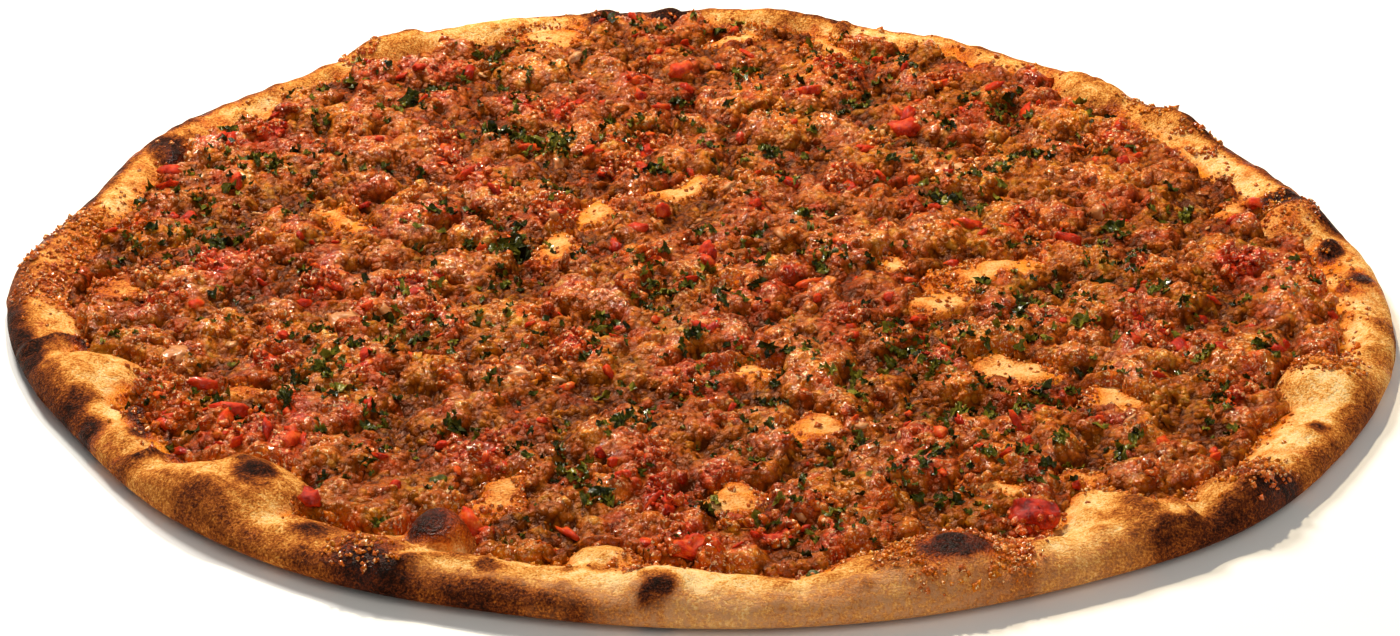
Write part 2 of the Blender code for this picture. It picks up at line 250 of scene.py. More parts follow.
# Bare patches: x, y, length, width, turn in degrees.
BARE_PATCHES = (
    (-84, 30, 17, 10, -45),
    (-23, 31, 15, 9, 80),
    (-31, 13, 16, 9, 75),
    (-4, 44, 24, 9, 30),
    (66, 1, 27, 11, 15),
    (55, -14, 13, 9, 60),
    (68, -47, 20, 12, -35),
    (88, -61, 15, 8, -40),
    (24, -72, 14, 10, 90),
    (11, -48, 12, 9, 0),
    (-98, -58, 13, 7, 0),
    (-40, -101, 20, 9, 58),
    (7, -103, 12, 9, 20),
    (61, -97, 14, 7, -20),
    (-78, 22, 8, 5, 0),
    (42, 44, 9, 5, 20),
    (45, 5, 9, 5, -20),
    (80, -95, 10, 6, -30),
    (8, -10, 8, 5, 10),
    (-37, 135, 20, 12, 10),
    (10, 135, 16, 7, 5),
    (35, 128, 14, 7, -15),
    (-85, 124, 12, 6, 50),
    (125, 33, 10, 6, 60),
    (120, 68, 12, 6, -60),
    (110, 88, 12, 6, -50),
    (-120, 10, 12, 7, 80),
    (-128, -8, 12, 8, 90),
)
# Ridges where the dough folded over: height, how toasted, then points along the ridge.
RIDGES = (
    (1.5, 0.28, (-148, -42), (-138, -35), (-128, -32), (-119, -38)),
    (1.5, 0.24, (-120, -93), (-109, -86), (-97, -82), (-87, -81)),
    (1.7, 0.0, (102, -119), (92, -105), (83, -97), (78, -92)),
    (1.1, 0.2, (146, 30), (137, 37), (127, 36)),
    (0.9, 0.16, (118, -99), (112, -92), (104, -90)),
    (0.9, 0.0, (148, -38), (140, -42), (128, -44)),
    (0.8, 0.12, (-64, -138), (-52, -130), (-42, -128)),
)
# Places on the rim where crumbs and oil of the topping baked on: x, y, radius.
CRUMBY = (
    (50, -127, 14), (133, -48, 9), (92, -103, 8), (-66, -128, 7), (-139, 13, 14), (-136, -8, 14),
    (-124, -22, 9), (-126, 6, 10), (132, 26, 10), (112, -99, 9), (60, -128, 8), (38, -124, 6),
    (-140, 26, 7), (-12, -131, 5),
)  # fmt: skip


# %% The bread's height at any place
def around(values, angle):
    """A smooth value at an angle, through values spaced evenly round the circle."""
    values = np.asarray(values)
    place = np.mod(angle, math.tau) / math.tau * len(values)
    first = np.floor(place).astype(int)
    t = place - first
    a, b, c, d = (values[(first + step) % len(values)] for step in (-1, 0, 1, 2))
    return b + 0.5 * t * (c - a + t * (2 * a - 5 * b + 4 * c - d + t * (3 * (b - c) + d - a)))


def turned(x, y, centre_x, centre_y, turn):
    """Distances along and across a direction in degrees, from a centre."""
    cos, sin = math.cos(math.radians(turn)), math.sin(math.radians(turn))
    dx, dy = x - centre_x, y - centre_y
    return dx * cos + dy * sin, dy * cos - dx * sin


def inset(x, y):
    """How far in from the outer edge a place is."""
    return around(EDGE_RADIUS, np.arctan2(y, x)) - np.hypot(x, y)


def rim_rise(x, y):
    """Rise of the rim above the floor: the roll round the edge blended with the puffs."""
    width = around(RIM_WIDTH, np.arctan2(y, x)) * (1.0 + 0.2 * soft_noise(x, y, 13, 45))
    total = (around(RIM_RISE, np.arctan2(y, x)) * ease((width - inset(x, y)) / (0.62 * width))) ** 3
    wavy_x, wavy_y = x + 1.3 * soft_noise(x, y, 8, 5), y + 1.3 * soft_noise(x, y, 8, 6)
    for centre_x, centre_y, length, width, rise, faces, steeper in PUFFS:
        along, across = turned(wavy_x, wavy_y, centre_x, centre_y, faces)
        along = np.where(along > 0, along * steeper, along) / length
        inside = np.clip(1.0 - along**2 - (across / width) ** 2, 0.0, None)
        total += (rise * inside**0.7) ** 3
    return np.cbrt(total)


def from_ridge(x, y, ridge):
    """Distance from a ridge's line, which wanders a little."""
    x, y = x + 0.9 * soft_noise(x, y, 6, 7), y + 0.9 * soft_noise(x, y, 6, 8)
    near = np.full(np.shape(x), 99.0)  # farther than any ridge matters
    for (start_x, start_y), (end_x, end_y) in zip(ridge, ridge[1:]):
        run_x, run_y = end_x - start_x, end_y - start_y
        share = ((x - start_x) * run_x + (y - start_y) * run_y) / (run_x**2 + run_y**2)
        share = np.clip(share, 0.0, 1.0)
        near = np.minimum(near, np.hypot(x - start_x - share * run_x, y - start_y - share * run_y))
    return near


def small_relief(x, y):
    """Ridges, fingertip dents, small bubbles and wrinkles of the rim."""
    dents = 0.75 * soft_noise(x, y, 12, 1) + 0.45 * soft_noise(x + 0.3 * y, y, 5.0, 2)
    bubbles, _ = heaped(x, y, 9.0, 2.6, 3)
    wrinkles = 0.22 * soft_noise(x, y - 0.4 * x, 2.4, 4) + 0.12 * soft_noise(x, y, 1.2, 9)
    ridges = sum(h * np.clip(1.0 - from_ridge(x, y, line) / 3.4, 0, None) ** 1.4 for h, _, *line in RIDGES)
    return dents + 0.55 * bubbles**1.5 + wrinkles + ridges


def patch_distance(x, y):
    """1 on the ragged outline of the nearest bare patch, less inside it and more outside."""
    x, y = x + 3.6 * soft_noise(x, y, 5.5, 10), y + 3.2 * soft_noise(x, y, 5.5, 11)
    near = np.full(np.shape(x), 9.0)  # farther out than any patch matters
    for centre_x, centre_y, length, width, turn in BARE_PATCHES:
        along, across = turned(x, y, centre_x, centre_y, turn)
        near = np.minimum(near, np.hypot(along / (0.5 * length), across / (0.5 * width)))
    return near


def blister_share(x, y, centre_x, centre_y, half_x, half_y):
    """1 in the middle of a blister, 0 on its outline, negative outside."""
    return 1.0 - ((x - centre_x) / half_x) ** 2 - ((y - centre_y) / half_y) ** 2


def crusted(x, y):
    """How much baked-on topping a place on the rim has."""
    x, y = x + 2.2 * soft_noise(x, y, 5, 16), y + 2.2 * soft_noise(x, y, 5, 17)
    share = np.zeros(np.shape(x))
    for centre_x, centre_y, radius in CRUMBY:
        share = np.maximum(share, ease(1.35 - np.hypot(x - centre_x, y - centre_y) / radius))
    return share * (0.5 + 0.5 * ease(0.6 + soft_noise(x, y, 4, 18)))


def bread_top(x, y, domes=1.0):
    """Height of the bread's upper side, with or without the domes in the bare patches."""
    rise = rim_rise(x, y)
    on_rim = ease((rise - 0.3) / 2.0)
    dome = domes * BUBBLE_RISE * ease(1.9 - 1.2 * patch_distance(x, y))
    wrinkled = domes * 0.35 * soft_noise(x + 0.5 * y, y, 2.3, 13)
    dome = dome * (1.0 + 0.25 * soft_noise(x, y, 6, 12)) + wrinkled
    rise = rise + on_rim * small_relief(x, y) + (1.0 - on_rim) * dome
    inward = 1.0 - np.clip(inset(x, y) / SHOULDER, 0.0, 1.0)
    height = NOSE + (FLOOR + rise - NOSE) * np.sqrt(1.0 - inward**2)
    for centre_x, centre_y, half_x, half_y, top in BLISTERS:
        share = blister_share(x, y, centre_x, centre_y, half_x, half_y)
        dented = top - 0.5 + 0.5 * soft_noise(x, y, 4, 15)
        blister = BLISTER_FOOT + (dented - BLISTER_FOOT) * np.clip(share, 0, 1) ** 0.6
        height = np.maximum(height, np.where(share > 0, blister, 0.0))
    return height


def bread_bottom(x, y):
    """Height of the underside: flat on the stone, curving up to the nose at the edge."""
    inward = 1.0 - np.clip(inset(x, y) / UNDERCUT, 0.0, 1.0)
    return NOSE * (1.0 - np.sqrt(1.0 - inward**2))


# %% [markdown]
# ## The bread's mesh
# Polar rings suit a round bread, because they can crowd together at the rim and stay far apart where the
# mince hides the dough. A flat grid is rolled up for that: its columns become rings and its rows become
# spokes, each point moves to its ring's distance from the edge and to the height of the surface there, and
# the first and last row are welded.

# %% Roll up a grid into rings and lay them on the bread's surface
SPOKES = 880
# How far in from the edge each ring lies: under the bread from the middle outward, then back over the top.
UNDERSIDE = [150.0, 100.0, 50.0, 20.0, 12.0, 9.0, 7.0, 5.0, 3.6, 2.4, 1.4, 0.7, 0.25]
MIDDLE_FROM = 42.0  # how far in the rings start to follow a circle instead of the edge
CENTRE = 150.5  # how far in the centre counts as, half a millimetre past the last ring
ROLL = [0.0, 0.25, 0.6, 1.0] + list(np.arange(1.5, 20.0, 0.5)) + list(np.arange(20.0, MIDDLE_FROM, 0.9))
MIDDLE = list(np.linspace(MIDDLE_FROM, 150.0, 27))


def rolled_bread():
    """The whole bread as one closed mesh."""
    from_edge = np.array(UNDERSIDE + ROLL + MIDDLE)
    builder = bmesh.new()
    bmesh.ops.create_grid(builder, x_segments=len(from_edge) - 1, y_segments=SPOKES, size=1.0)
    mesh = bpy.data.meshes.new("bread")
    builder.to_mesh(mesh)
    column, row, _ = ((read_points(mesh) * MM + 1.0) / 2.0).T
    ring = np.rint(column * (len(from_edge) - 1)).astype(int)
    angle = math.tau * (np.rint(row * SPOKES) % SPOKES) / SPOKES
    edge = around(EDGE_RADIUS, angle) + 0.35 * soft_noise(70 * np.cos(angle), 70 * np.sin(angle), 3.0, 14)
    step = from_edge[ring]
    inner = (edge - MIDDLE_FROM) * (CENTRE - step) / (CENTRE - MIDDLE_FROM)
    radius = np.where(step > MIDDLE_FROM, inner, edge - step)
    x, y = radius * np.cos(angle), radius * np.sin(angle)
    domes = ease((MIDDLE_FROM + 1.0 - step) / 2.0)
    z = np.where(ring >= len(UNDERSIDE), bread_top(x, y, domes), bread_bottom(x, y))
    for point, place in zip(builder.verts, np.stack([x, y, z], axis=1) * MM):
        point.co = place
    bmesh.ops.remove_doubles(builder, verts=builder.verts, dist=1e-7)
    bmesh.ops.holes_fill(builder, edges=[e for e in builder.edges if e.is_boundary])
    bmesh.ops.recalc_face_normals(builder, faces=builder.faces)
    builder.to_mesh(mesh)
    builder.free()
    return mesh


bread_mesh = rolled_bread()
bread_points = read_points(bread_mesh)
bread_upper = bread_points[:, 2] > NOSE - 0.01
print("bread size in mm:", np.round(np.ptp(bread_points, axis=0), 1))

# %% [markdown]
# ## Where the oven browned it
# Bread colours where it is closest to the heat: on top of puffs, along sharp folds, on the outer lower
# edge and in the spots that the bakers call leopard marks. Sheltered and floury places stay cream. One
# value for each point, from 0 for pale to 1 for charred, is worked out from the shape and from a list of
# scorch marks, and the material turns it into colour. A second value says how much oil and juice soaked
# in, and a third where flour stayed on the lower front.

# %% Toasting and soaking of the bread
# Scorch marks: x, y, radius, strength, which is below 0 where the crust stayed paler.
SCORCHES = (
    (-53, -120, 5, 0.5), (-46, -123, 5, -0.3), (-89, -101, 5, 0.5), (-117, -71, 3.5, 0.3),
    (-115, -77, 4, 0.7), (-128, -63, 4, 0.4), (-125, -74, 4, 0.45), (-76, -119, 6, 0.4),
    (-96, -111, 12, 0.18),
    (-41, -134, 3.5, 0.45), (-19, -133, 3, 0.45), (-25, -134, 2.6, 0.4), (-7, -143, 5.4, 0.6),
    (14, -136, 3, 0.4), (37, -133, 8, 0.25), (50, -131, 5.6, 0.55), (56, -142, 2.2, 0.35),
    (88, -115, 9, 0.3), (111, -96, 6, 0.45), (128, -76, 3.2, 0.4), (136, 34, 8, 0.85),
    (145, 24, 7, 0.45), (147, -6, 4.5, 0.8), (143, 8, 3.5, 0.7), (-126, 66, 6, 0.55),
    (-143, 38, 5, 0.6), (-141, 50, 4, 0.4), (-140, -11, 4, 0.4), (-132, -19, 4, 0.4),
    (-7, 148, 5, 0.5), (37, 143, 3.5, 0.5), (-22, 150, 5, 0.3), (-143, -42, 6, 0.3),
    (-128, -33, 5, 0.25), (120, 74, 5, 0.3), (97, 101, 5, 0.3), (-64, -128, 11, 0.2),
    (150, -28, 6, 0.25), (146, -42, 5, 0.2), (134, -46, 7, 0.2), (-146, -60, 8, 0.1),
    (1.5, -149, 26, -0.1),
)  # fmt: skip
MOST_TOASTED = 0.88  # below 1, so that the noise in the material still breaks up the char
# How brown the rim is in general, every 15 degrees from +X.
RIM_BROWN = (
    0.08, 0.13, 0.17, 0.19, 0.19, 0.17, 0.16, 0.18, 0.2, 0.2, 0.2, 0.24,
    0.28, 0.26, 0.18, 0.18, 0.18, 0.17, 0.17, 0.17, 0.16, 0.16, 0.14, 0.1,
)  # fmt: skip
# How brown the outermost band is, at the same angles.
EDGE_BROWN = (
    0.1, 0.26, 0.34, 0.32, 0.32, 0.34, 0.38, 0.42, 0.46, 0.46, 0.46, 0.42,
    0.3, 0.38, 0.36, 0.38, 0.36, 0.26, 0.07, 0.1, 0.2, 0.36, 0.34, 0.15,
)  # fmt: skip


def floury(x, y):
    """The grey-pink lower face at the front, where flour and ash from the oven's stone stay on."""
    front = ease(1.25 - np.abs(np.degrees(np.arctan2(y, x)) + 84.0) / 30.0)
    return front * ease((8.2 + 1.6 * soft_noise(x, y, 7, 30) - inset(x, y)) / 3.5)


BULGE_STEP = 2.2  # millimetres to the neighbours that a bulge stands out from


def toasting(x, y, upper):
    """How toasted each place is. Where upper is false, it lies on the underside."""
    edge = inset(x, y)
    patches = soft_noise(x, y, 15, 21) + 0.45 * soft_noise(x, y, 5, 28)
    band = 1.3 * (1.0 - ease((edge - 1.2) / 5.4)) * np.clip(1.0 + 0.6 * patches, 0.0, 1.5)
    sides = ((BULGE_STEP, 0), (-BULGE_STEP, 0), (0, BULGE_STEP), (0, -BULGE_STEP))
    near = [bread_top(x + dx, y + dy) for dx, dy in sides]
    bulge = bread_top(x, y) - sum(near) / 4
    turn = np.arctan2(y, x)
    toast = around(RIM_BROWN, turn) + around(EDGE_BROWN, turn) * band
    toast += 0.14 * soft_noise(x, y, 16, 22) + 0.09 * soft_noise(x, y, 6, 23)
    toast += np.where(edge > 3.0, 0.3 * np.clip(bulge, -0.25, 0.6), 0.0)
    for centre_x, centre_y, radius, strength in SCORCHES:
        far = np.hypot(x - centre_x, y - centre_y) * (1.0 + 0.3 * soft_noise(x, y, 3.0, 24))
        toast += strength * ease(1.2 - far / radius)
    for blister in BLISTERS:
        toast += 0.24 * ease((blister_share(x, y, *blister[:4]) + 0.1) / 0.5)
    for _, toasted, *line in RIDGES:
        on_ridge = ease(1.25 - from_ridge(x, y, line) / 3.6)
        toast += toasted * on_ridge * (1.0 + 0.5 * soft_noise(x, y, 4, 29))
    near_mince = ease((3.2 + 0.8 * patches - rim_rise(x, y)) / 2.0) * (patch_distance(x, y) > 1.6)
    toast += 0.12 * near_mince + 0.16 * crusted(x, y) + 0.07 * floury(x, y)
    spots, _ = heaped(x, y, 17, 5.5, 25)
    underneath = 0.34 + 0.35 * spots**2 + 0.12 * soft_noise(x, y, 9, 26)
    share = np.where(upper, 0.0, ease((edge - 4.0) / 4.0))
    return np.clip(toast * (1.0 - share) + underneath * share, 0.0, MOST_TOASTED)


def soaking(x, y, upper):
    """Oil and juice in the bread: in the bare patches, just outside the mince and on charred bubbles."""
    spotty = 1.4 * soft_noise(x, y, 6, 27) + 1.2 * soft_noise(x, y, 2.4, 19)
    border = ease((3.7 + spotty - rim_rise(x, y)) / 2.2)
    in_patch = ease((patch_distance(x, y) - 0.2 + 0.3 * spotty) / 0.9)
    soak = np.maximum(border * (0.4 + 0.6 * in_patch), 0.9 * crusted(x, y))
    for bubble in CHARRED_BUBBLES:
        soak = np.maximum(soak, 0.85 * ease(blister_share(x, y, *bubble[:4]) / 0.5))
    return np.where(upper, soak, 0.0)


x, y, z = bread_points.T
write_values(bread_mesh, "toast", toasting(x, y, bread_upper))
write_values(bread_mesh, "soak", soaking(x, y, bread_upper))
write_values(bread_mesh, "flour", floury(x, y))

# %% [markdown]
# ## Baked wheat dough
# A baked crust is dry and slightly rough, with a dusting of flour in its pores and a skin that browns in
# freckles. To the eye that is a matt surface with a warm glow from below it, since light goes a few
# millimetres into the crumb. A colour ramp from cream to char reads the toasting, with fine noise added
# first, so that the border of each brown place breaks up into freckles. Where oil soaked in, the crust
# turns orange and shines. The noise has blotches of 8 mm, freckles of 1.5 mm and grain of 0.5 mm.

# %% Baked dough material
baked_dough, tree = new_material("baked_wheat_dough")
place = add(tree, "TexCoord").outputs["Object"]
toast, soak, flour = (
    add(tree, "Attribute", attribute_name=name).outputs["Fac"] for name in ("toast", "soak", "flour")
)
blotches = add(tree, "TexNoise", {"Vector": place, "Scale": 130.0, "Detail": 3.0, "Roughness": 0.6})
freckles = add(tree, "TexNoise", {"Vector": place, "Scale": 700.0, "Detail": 4.0, "Roughness": 0.75})
grain = add(tree, "TexNoise", {"Vector": place, "Scale": 2000.0, "Detail": 2.0, "Roughness": 0.6})
uneven = add(tree, "Math", {0: freckles.outputs["Fac"], 1: 0.75, 2: -0.89}, operation="MULTIPLY_ADD")
uneven = add(
    tree, "Math", {0: blotches.outputs["Fac"], 1: 0.24, 2: uneven.outputs[0]}, operation="MULTIPLY_ADD"
)
uneven = add(tree, "Math", {0: grain.outputs["Fac"], 1: 0.8, 2: uneven.outputs[0]}, operation="MULTIPLY_ADD")
browned = add(tree, "Math", {0: toast, 1: uneven.outputs[0]}, operation="ADD", use_clamp=True)
crust = add(
    tree,
    "ValToRGB",
    {"Fac": browned.outputs[0]},
    stops=[
        (0.0, "#F8D49A"), (0.14, "#F2BC70"), (0.28, "#DE9644"), (0.42, "#BC6C28"),
        (0.56, "#8E4818"), (0.72, "#5C2810"), (0.87, "#32150A"), (1.0, "#180B06"),
    ],
)  # fmt: skip

# %% Flour on the dough, and the oil in it
dust = add(
    tree, "MapRange",
    {"Value": freckles.outputs["Fac"], "From Min": 0.42, "From Max": 0.58, "To Min": 0.2, "To Max": 0.9},
)  # fmt: skip
unburnt = add(
    tree, "MapRange",
    {"Value": toast, "From Min": 0.4, "From Max": 0.65, "To Min": 1.0, "To Max": 0.0},
)  # fmt: skip
dust = add(tree, "Math", {0: dust.outputs[0], 1: unburnt.outputs[0]}, operation="MULTIPLY")
dust = add(tree, "Math", {0: flour, 1: dust.outputs[0]}, operation="MULTIPLY")
dusted = add(
    tree, "Mix",
    {MIX_SHARE: dust.outputs[0], MIX_FROM: crust.outputs["Color"], MIX_TO: linear("#CB9568")},
    data_type="RGBA",
)  # fmt: skip
stained = add(
    tree, "Mix",
    {MIX_SHARE: soak, MIX_FROM: dusted.outputs[MIXED], MIX_TO: linear("#F4B446")},
    data_type="RGBA", blend_type="MULTIPLY",
)  # fmt: skip
grainy = add(tree, "Math", {0: freckles.outputs["Fac"], 1: grain.outputs["Fac"]}, operation="ADD")
bump = add(tree, "Bump", {"Strength": 0.8, "Distance": 0.0008, "Height": grainy.outputs[0]})
gloss = add(tree, "MapRange", {"Value": soak, "To Min": 0.6, "To Max": 0.25})
oily = add(tree, "MapRange", {"Value": soak, "To Min": 0.05, "To Max": 0.22})
shader = add(
    tree,
    "BsdfPrincipled",
    {
        "Base Color": stained.outputs[MIXED], "Roughness": gloss.outputs[0], "IOR": 1.4,
        "Specular IOR Level": oily.outputs[0], "Subsurface Weight": 0.15,
        "Subsurface Radius": (1.0, 0.5, 0.25), "Subsurface Scale": 0.0015,
        "Normal": bump.outputs["Normal"],
    },
)  # fmt: skip
add(tree, "OutputMaterial", {"Surface": shader.outputs[0]})
make_piece("bread", bread_mesh, baked_dough, ["dough"])

# %% [markdown]
# ## The bed of mince
# Raw mince is spread thin with the fingers. In the oven it tightens into crumbs of about 2 mm, which stay
# together in clumps of a centimetre or so, with darker clefts between them. A bed with every crumb as its
# own object would be far too heavy, so the bed is one skin: a grid whose height is the highest of the
# clumps, lumps and crumbs heaped at that place. Loose crumbs are scattered on it afterwards, to break the
# skin's smooth look where it turns away from the eye.

# %% Where the tomato lies, in millimetres
# The diced tomato pieces of the CAD model stain the mince around them, and so do these smears and strips
# of softened tomato: x, y, length, width, height, turn in degrees.
SMEARS = (
    (-59, 63, 15, 5, 3, 100), (-51, 46, 17, 6, 3, -55), (-104, 2, 15, 10, 3.5, 20),
    (-103, 75, 9, 6, 3, 30), (-6, -104, 10, 5, 3, -60), (103, -38, 12, 5, 3, 10),
    (122, 0, 10, 6, 3, 40), (25, -109, 6, 4, 2.5, 0), (33, -25, 7, 5, 3, 20),
    (-60, -27, 7, 5, 3, 50), (-10, 4, 6, 4, 3, 0), (-15, -14, 5, 4, 3, 0),
    (75, 25, 5, 4, 3, 30), (-128, 20, 7, 4, 2.5, 60), (60, 105, 8, 4, 3, 10),
)  # fmt: skip


def block_frame(name):
    """Centre, half sizes and axes of a CAD block, longest first, in millimetres."""
    points = read_points(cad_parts[name].data)
    centre = (points.min(axis=0) + points.max(axis=0)) / 2
    axes = np.linalg.svd(points - points.mean(axis=0), full_matrices=False)[2]
    axes[2] = np.cross(axes[0], axes[1])
    return centre, np.abs((points - centre) @ axes.T).max(axis=0), axes.T


TOMATO_NODES = sorted(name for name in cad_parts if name.startswith("tomato_"))
ONION_NODES = sorted(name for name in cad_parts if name.startswith("onion_"))
TOMATO_BLOCKS = [block_frame(name) for name in TOMATO_NODES]
ONION_BLOCKS = [block_frame(name) for name in ONION_NODES]


def redness(x, y):
    """How much tomato and pepper juice is in the mince, from 0 to 1."""
    red = 0.22 * ease((soft_noise(x, y, 19, 41) - 0.1) / 0.5)
    red += 0.5 * ease((soft_noise(x, y, 5, 42) - 0.3) / 0.25)
    for centre, half, _ in TOMATO_BLOCKS:
        red += 0.45 * ease(1.5 - np.hypot(x - centre[0], y - centre[1]) / (half[0] + 1.5))
    for centre_x, centre_y, length, width, _, turn in SMEARS:
        along, across = turned(x, y, centre_x, centre_y, turn)
        red += 0.5 * ease(1.6 - np.hypot(along / (0.5 * length + 1), across / (0.5 * width + 1)))
    return np.clip(red, 0.0, 1.0)


# %% The mince's height at any place
def mince_cover(x, y):
    """1 where the mince lies, 0 where the bread is bare: on the rim and in the bare patches."""
    ragged = 0.8 * soft_noise(x, y, 9, 31) + 0.5 * soft_noise(x, y, 3.2, 32)
    off_rim = ease((2.0 + ragged - rim_rise(x, y)) / 1.4)
    off_patch = ease((patch_distance(x, y) - 0.85 + 0.3 * ragged) / 0.5)
    for centre_x, centre_y, half_x, half_y, _ in BLISTERS:
        off_patch = off_patch * ease(-blister_share(x, y, centre_x, centre_y, half_x, half_y) / 0.8)
    return off_rim * off_patch


def mince_top(x, y):
    """Height of the mince, its crumbs' own random values, and painted shade: darker where it lies low between
    clumps.
    """
    bend_x = 2.6 * soft_noise(x, y, 6, 33) + 0.9 * soft_noise(x, y, 2.2, 39)
    bend_y = 2.6 * soft_noise(x, y, 6, 34) + 0.9 * soft_noise(x, y, 2.2, 40)
    clumps, _ = heaped(x + bend_x, y + bend_y, 13.0, 8.4, 35)
    lumps, _ = heaped(x + 0.6 * bend_x, y - 0.6 * bend_y, 5.6, 3.8, 36)
    crumbs, tone = heaped(x + 0.3 * bend_x, y, 2.6, 1.9, 37)
    body = 3.7 * clumps + 2.3 * lumps
    thickness = 0.2 + 0.6 * soft_noise(x, y, 30, 38) + body + 0.9 * crumbs
    cover = mince_cover(x, y)
    height = FLOOR + thickness * cover - 1.6 * (1.0 - cover)
    # The third value is painted shade, which the mince material darkens by: more where the clumps and lumps
    # are low.
    return height, tone, np.clip(1.38 - body / 4.1, 0.0, 1.0) * (0.4 + 0.6 * cover)


# %% Grid the bed of mince and close it below
SKIN_STEP = 0.8  # size of the grid's cells
SKIN_HALF = 148.0  # half size of the whole grid
SKIN_BASE = 1.5  # height of the flat lower side, inside the dough


def closed_skin(name, height_at, wanted):
    """A grid over the places where wanted says yes, at the given height, closed by walls and a floor."""
    cells = round(2 * SKIN_HALF / SKIN_STEP)
    builder = bmesh.new()
    # The grid is made with a unit for a millimetre, and scaled down at the end.
    bmesh.ops.create_grid(builder, x_segments=cells, y_segments=cells, size=SKIN_HALF)
    mesh = bpy.data.meshes.new(name)
    builder.to_mesh(mesh)
    x, y, _ = (read_points(mesh) * MM).T
    inner = wanted(x, y)
    height = np.full(len(x), SKIN_BASE)
    height[inner] = height_at(x[inner], y[inner])
    builder.verts.ensure_lookup_table()
    for point, z in zip(builder.verts, height):
        point.co.z = z
    outer = [f for f in builder.faces if not all(inner[v.index] for v in f.verts)]
    bmesh.ops.delete(builder, geom=outer, context="FACES")
    border = [e for e in builder.edges if e.is_boundary]
    skirt = bmesh.ops.extrude_edge_only(builder, edges=border)["geom"]
    for point in (g for g in skirt if isinstance(g, bmesh.types.BMVert)):
        point.co.z = SKIN_BASE
    lower = [g for g in skirt if isinstance(g, bmesh.types.BMEdge) and g.is_boundary]
    bmesh.ops.triangle_fill(builder, edges=lower, use_beauty=False)
    bmesh.ops.recalc_face_normals(builder, faces=builder.faces)
    builder.to_mesh(mesh)
    builder.free()
    write_points(mesh, read_points(mesh) * MM)
    return mesh


def mince_height(x, y):
    return mince_top(x, y)[0]


def mince_shows(x, y):
    """Says yes where the mince is above the bread, or so little below it that the bread hides its border."""
    return (mince_height(x, y) > bread_top(x, y) - 0.8) & (inset(x, y) > 2.5)


bed_mesh = closed_skin("mince_bed", mince_height, mince_shows)
x, y, _ = read_points(bed_mesh).T
_, tone, cleft_shade = mince_top(x, y)
write_values(bed_mesh, "tone", tone)
# The painted shade goes to the bed as a value for its material.
write_values(bed_mesh, "cleft_shade", cleft_shade)
write_values(bed_mesh, "red", redness(x, y))

# %% [markdown]
# Where the mince slid off in the oven, steam lifts the bare dough into low, wrinkled domes. The bread's
# rings are too far apart there to carry them, so the domes are a finer skin on top of it.

# %% Domes of bare dough in the middle
DOMES_FROM = 40  # how far in the finer skin starts, just before the bread's own domes end


def dome_shows(x, y):
    return (patch_distance(x, y) < 1.5) & (inset(x, y) > DOMES_FROM)


dome_mesh = closed_skin("bare_domes", bread_top, dome_shows)
x, y, _ = read_points(dome_mesh).T
everywhere = np.full(len(x), True)
browned_top = 0.4 * toasting(x, y, everywhere) + 0.2 * ease((patch_distance(x, y) - 0.5) / 0.7)
browned_top = browned_top + 0.2 * soft_noise(x, y, 3.2, 44)
browned_top += 0.3 * ease((bread_top(x, y) - 5.8) / 1.5) * soft_noise(x, y, 5, 43)
write_values(dome_mesh, "toast", np.clip(browned_top, 0.0, 1.0))
write_values(dome_mesh, "soak", soaking(x, y, everywhere))
write_values(dome_mesh, "flour", np.zeros(len(x)))
make_piece("bare_domes", dome_mesh, baked_dough)

# %% [markdown]
# ## Baked mince
# The crumbs are browned beef or lamb in red pepper paste, wet with fat: most are brown, some rusty, a few
# pink or nearly black. The eye reads that as a mix of small colour steps under a broken shine. Cells of
# 1.5 mm give each crumb its colour and a rounded bump, and noise of 0.9 mm makes the shreds of meat.
# Patches of 4 mm and regions of 14 mm vary both. The hollows between clumps and between crumbs are painted
# darker, as painted shade.
#
# Set fat is painted as short, pale, bent lines on the tops: partly its own pale colour, and partly painted
# highlight that stands in for glints. Melted fat is a clear coat with a bump of its own, so that it sparkles
# in points and never lies over the meat as a veil. The meat's own gloss has an orange tint, as light that
# passes the red oil comes back warm, and a white gloss would grey the brown.

# %% Baked mince material
baked_mince, tree = new_material("baked_spiced_mince")
place = add(tree, "TexCoord").outputs["Object"]
tone, cleft_shade, red = (
    add(tree, "Attribute", attribute_name=name).outputs["Fac"] for name in ("tone", "cleft_shade", "red")
)
regions = add(tree, "TexNoise", {"Vector": place, "Scale": 70.0, "Detail": 3.0})
crumbs = add(tree, "TexVoronoi", {"Vector": place, "Scale": 650.0})
shreds = add(tree, "TexNoise", {"Vector": place, "Scale": 1100.0, "Detail": 3.0, "Roughness": 0.65})
own = add(tree, "SeparateColor", {"Color": crumbs.outputs["Color"]})
patches = add(tree, "TexNoise", {"Vector": place, "Scale": 260.0, "Detail": 3.0, "Roughness": 0.6})
step = add(tree, "Math", {0: own.outputs[0], 1: 0.26, 2: -0.31}, operation="MULTIPLY_ADD")
step = add(tree, "Math", {0: tone, 1: 0.14, 2: step.outputs[0]}, operation="MULTIPLY_ADD")
step = add(tree, "Math", {0: shreds.outputs["Fac"], 1: 0.35, 2: step.outputs[0]}, operation="MULTIPLY_ADD")
step = add(tree, "Math", {0: patches.outputs["Fac"], 1: 1.0, 2: step.outputs[0]}, operation="MULTIPLY_ADD")
meat = add(
    tree,
    "ValToRGB",
    {"Fac": step.outputs[0]},
    stops=[
        (0.2, "#7C3404"), (0.36, "#B65C08"), (0.5, "#D4720C"), (0.62, "#E68616"),
        (0.74, "#F0A034"), (0.86, "#F6BA62"), (1.0, "#FCD890"),
    ],
)  # fmt: skip
paste = add(
    tree,
    "ValToRGB",
    {"Fac": regions.outputs["Fac"]},
    stops=[(0.36, "#FCEC96"), (0.5, "#FCDF94"), (0.64, "#FCC57E")],
)
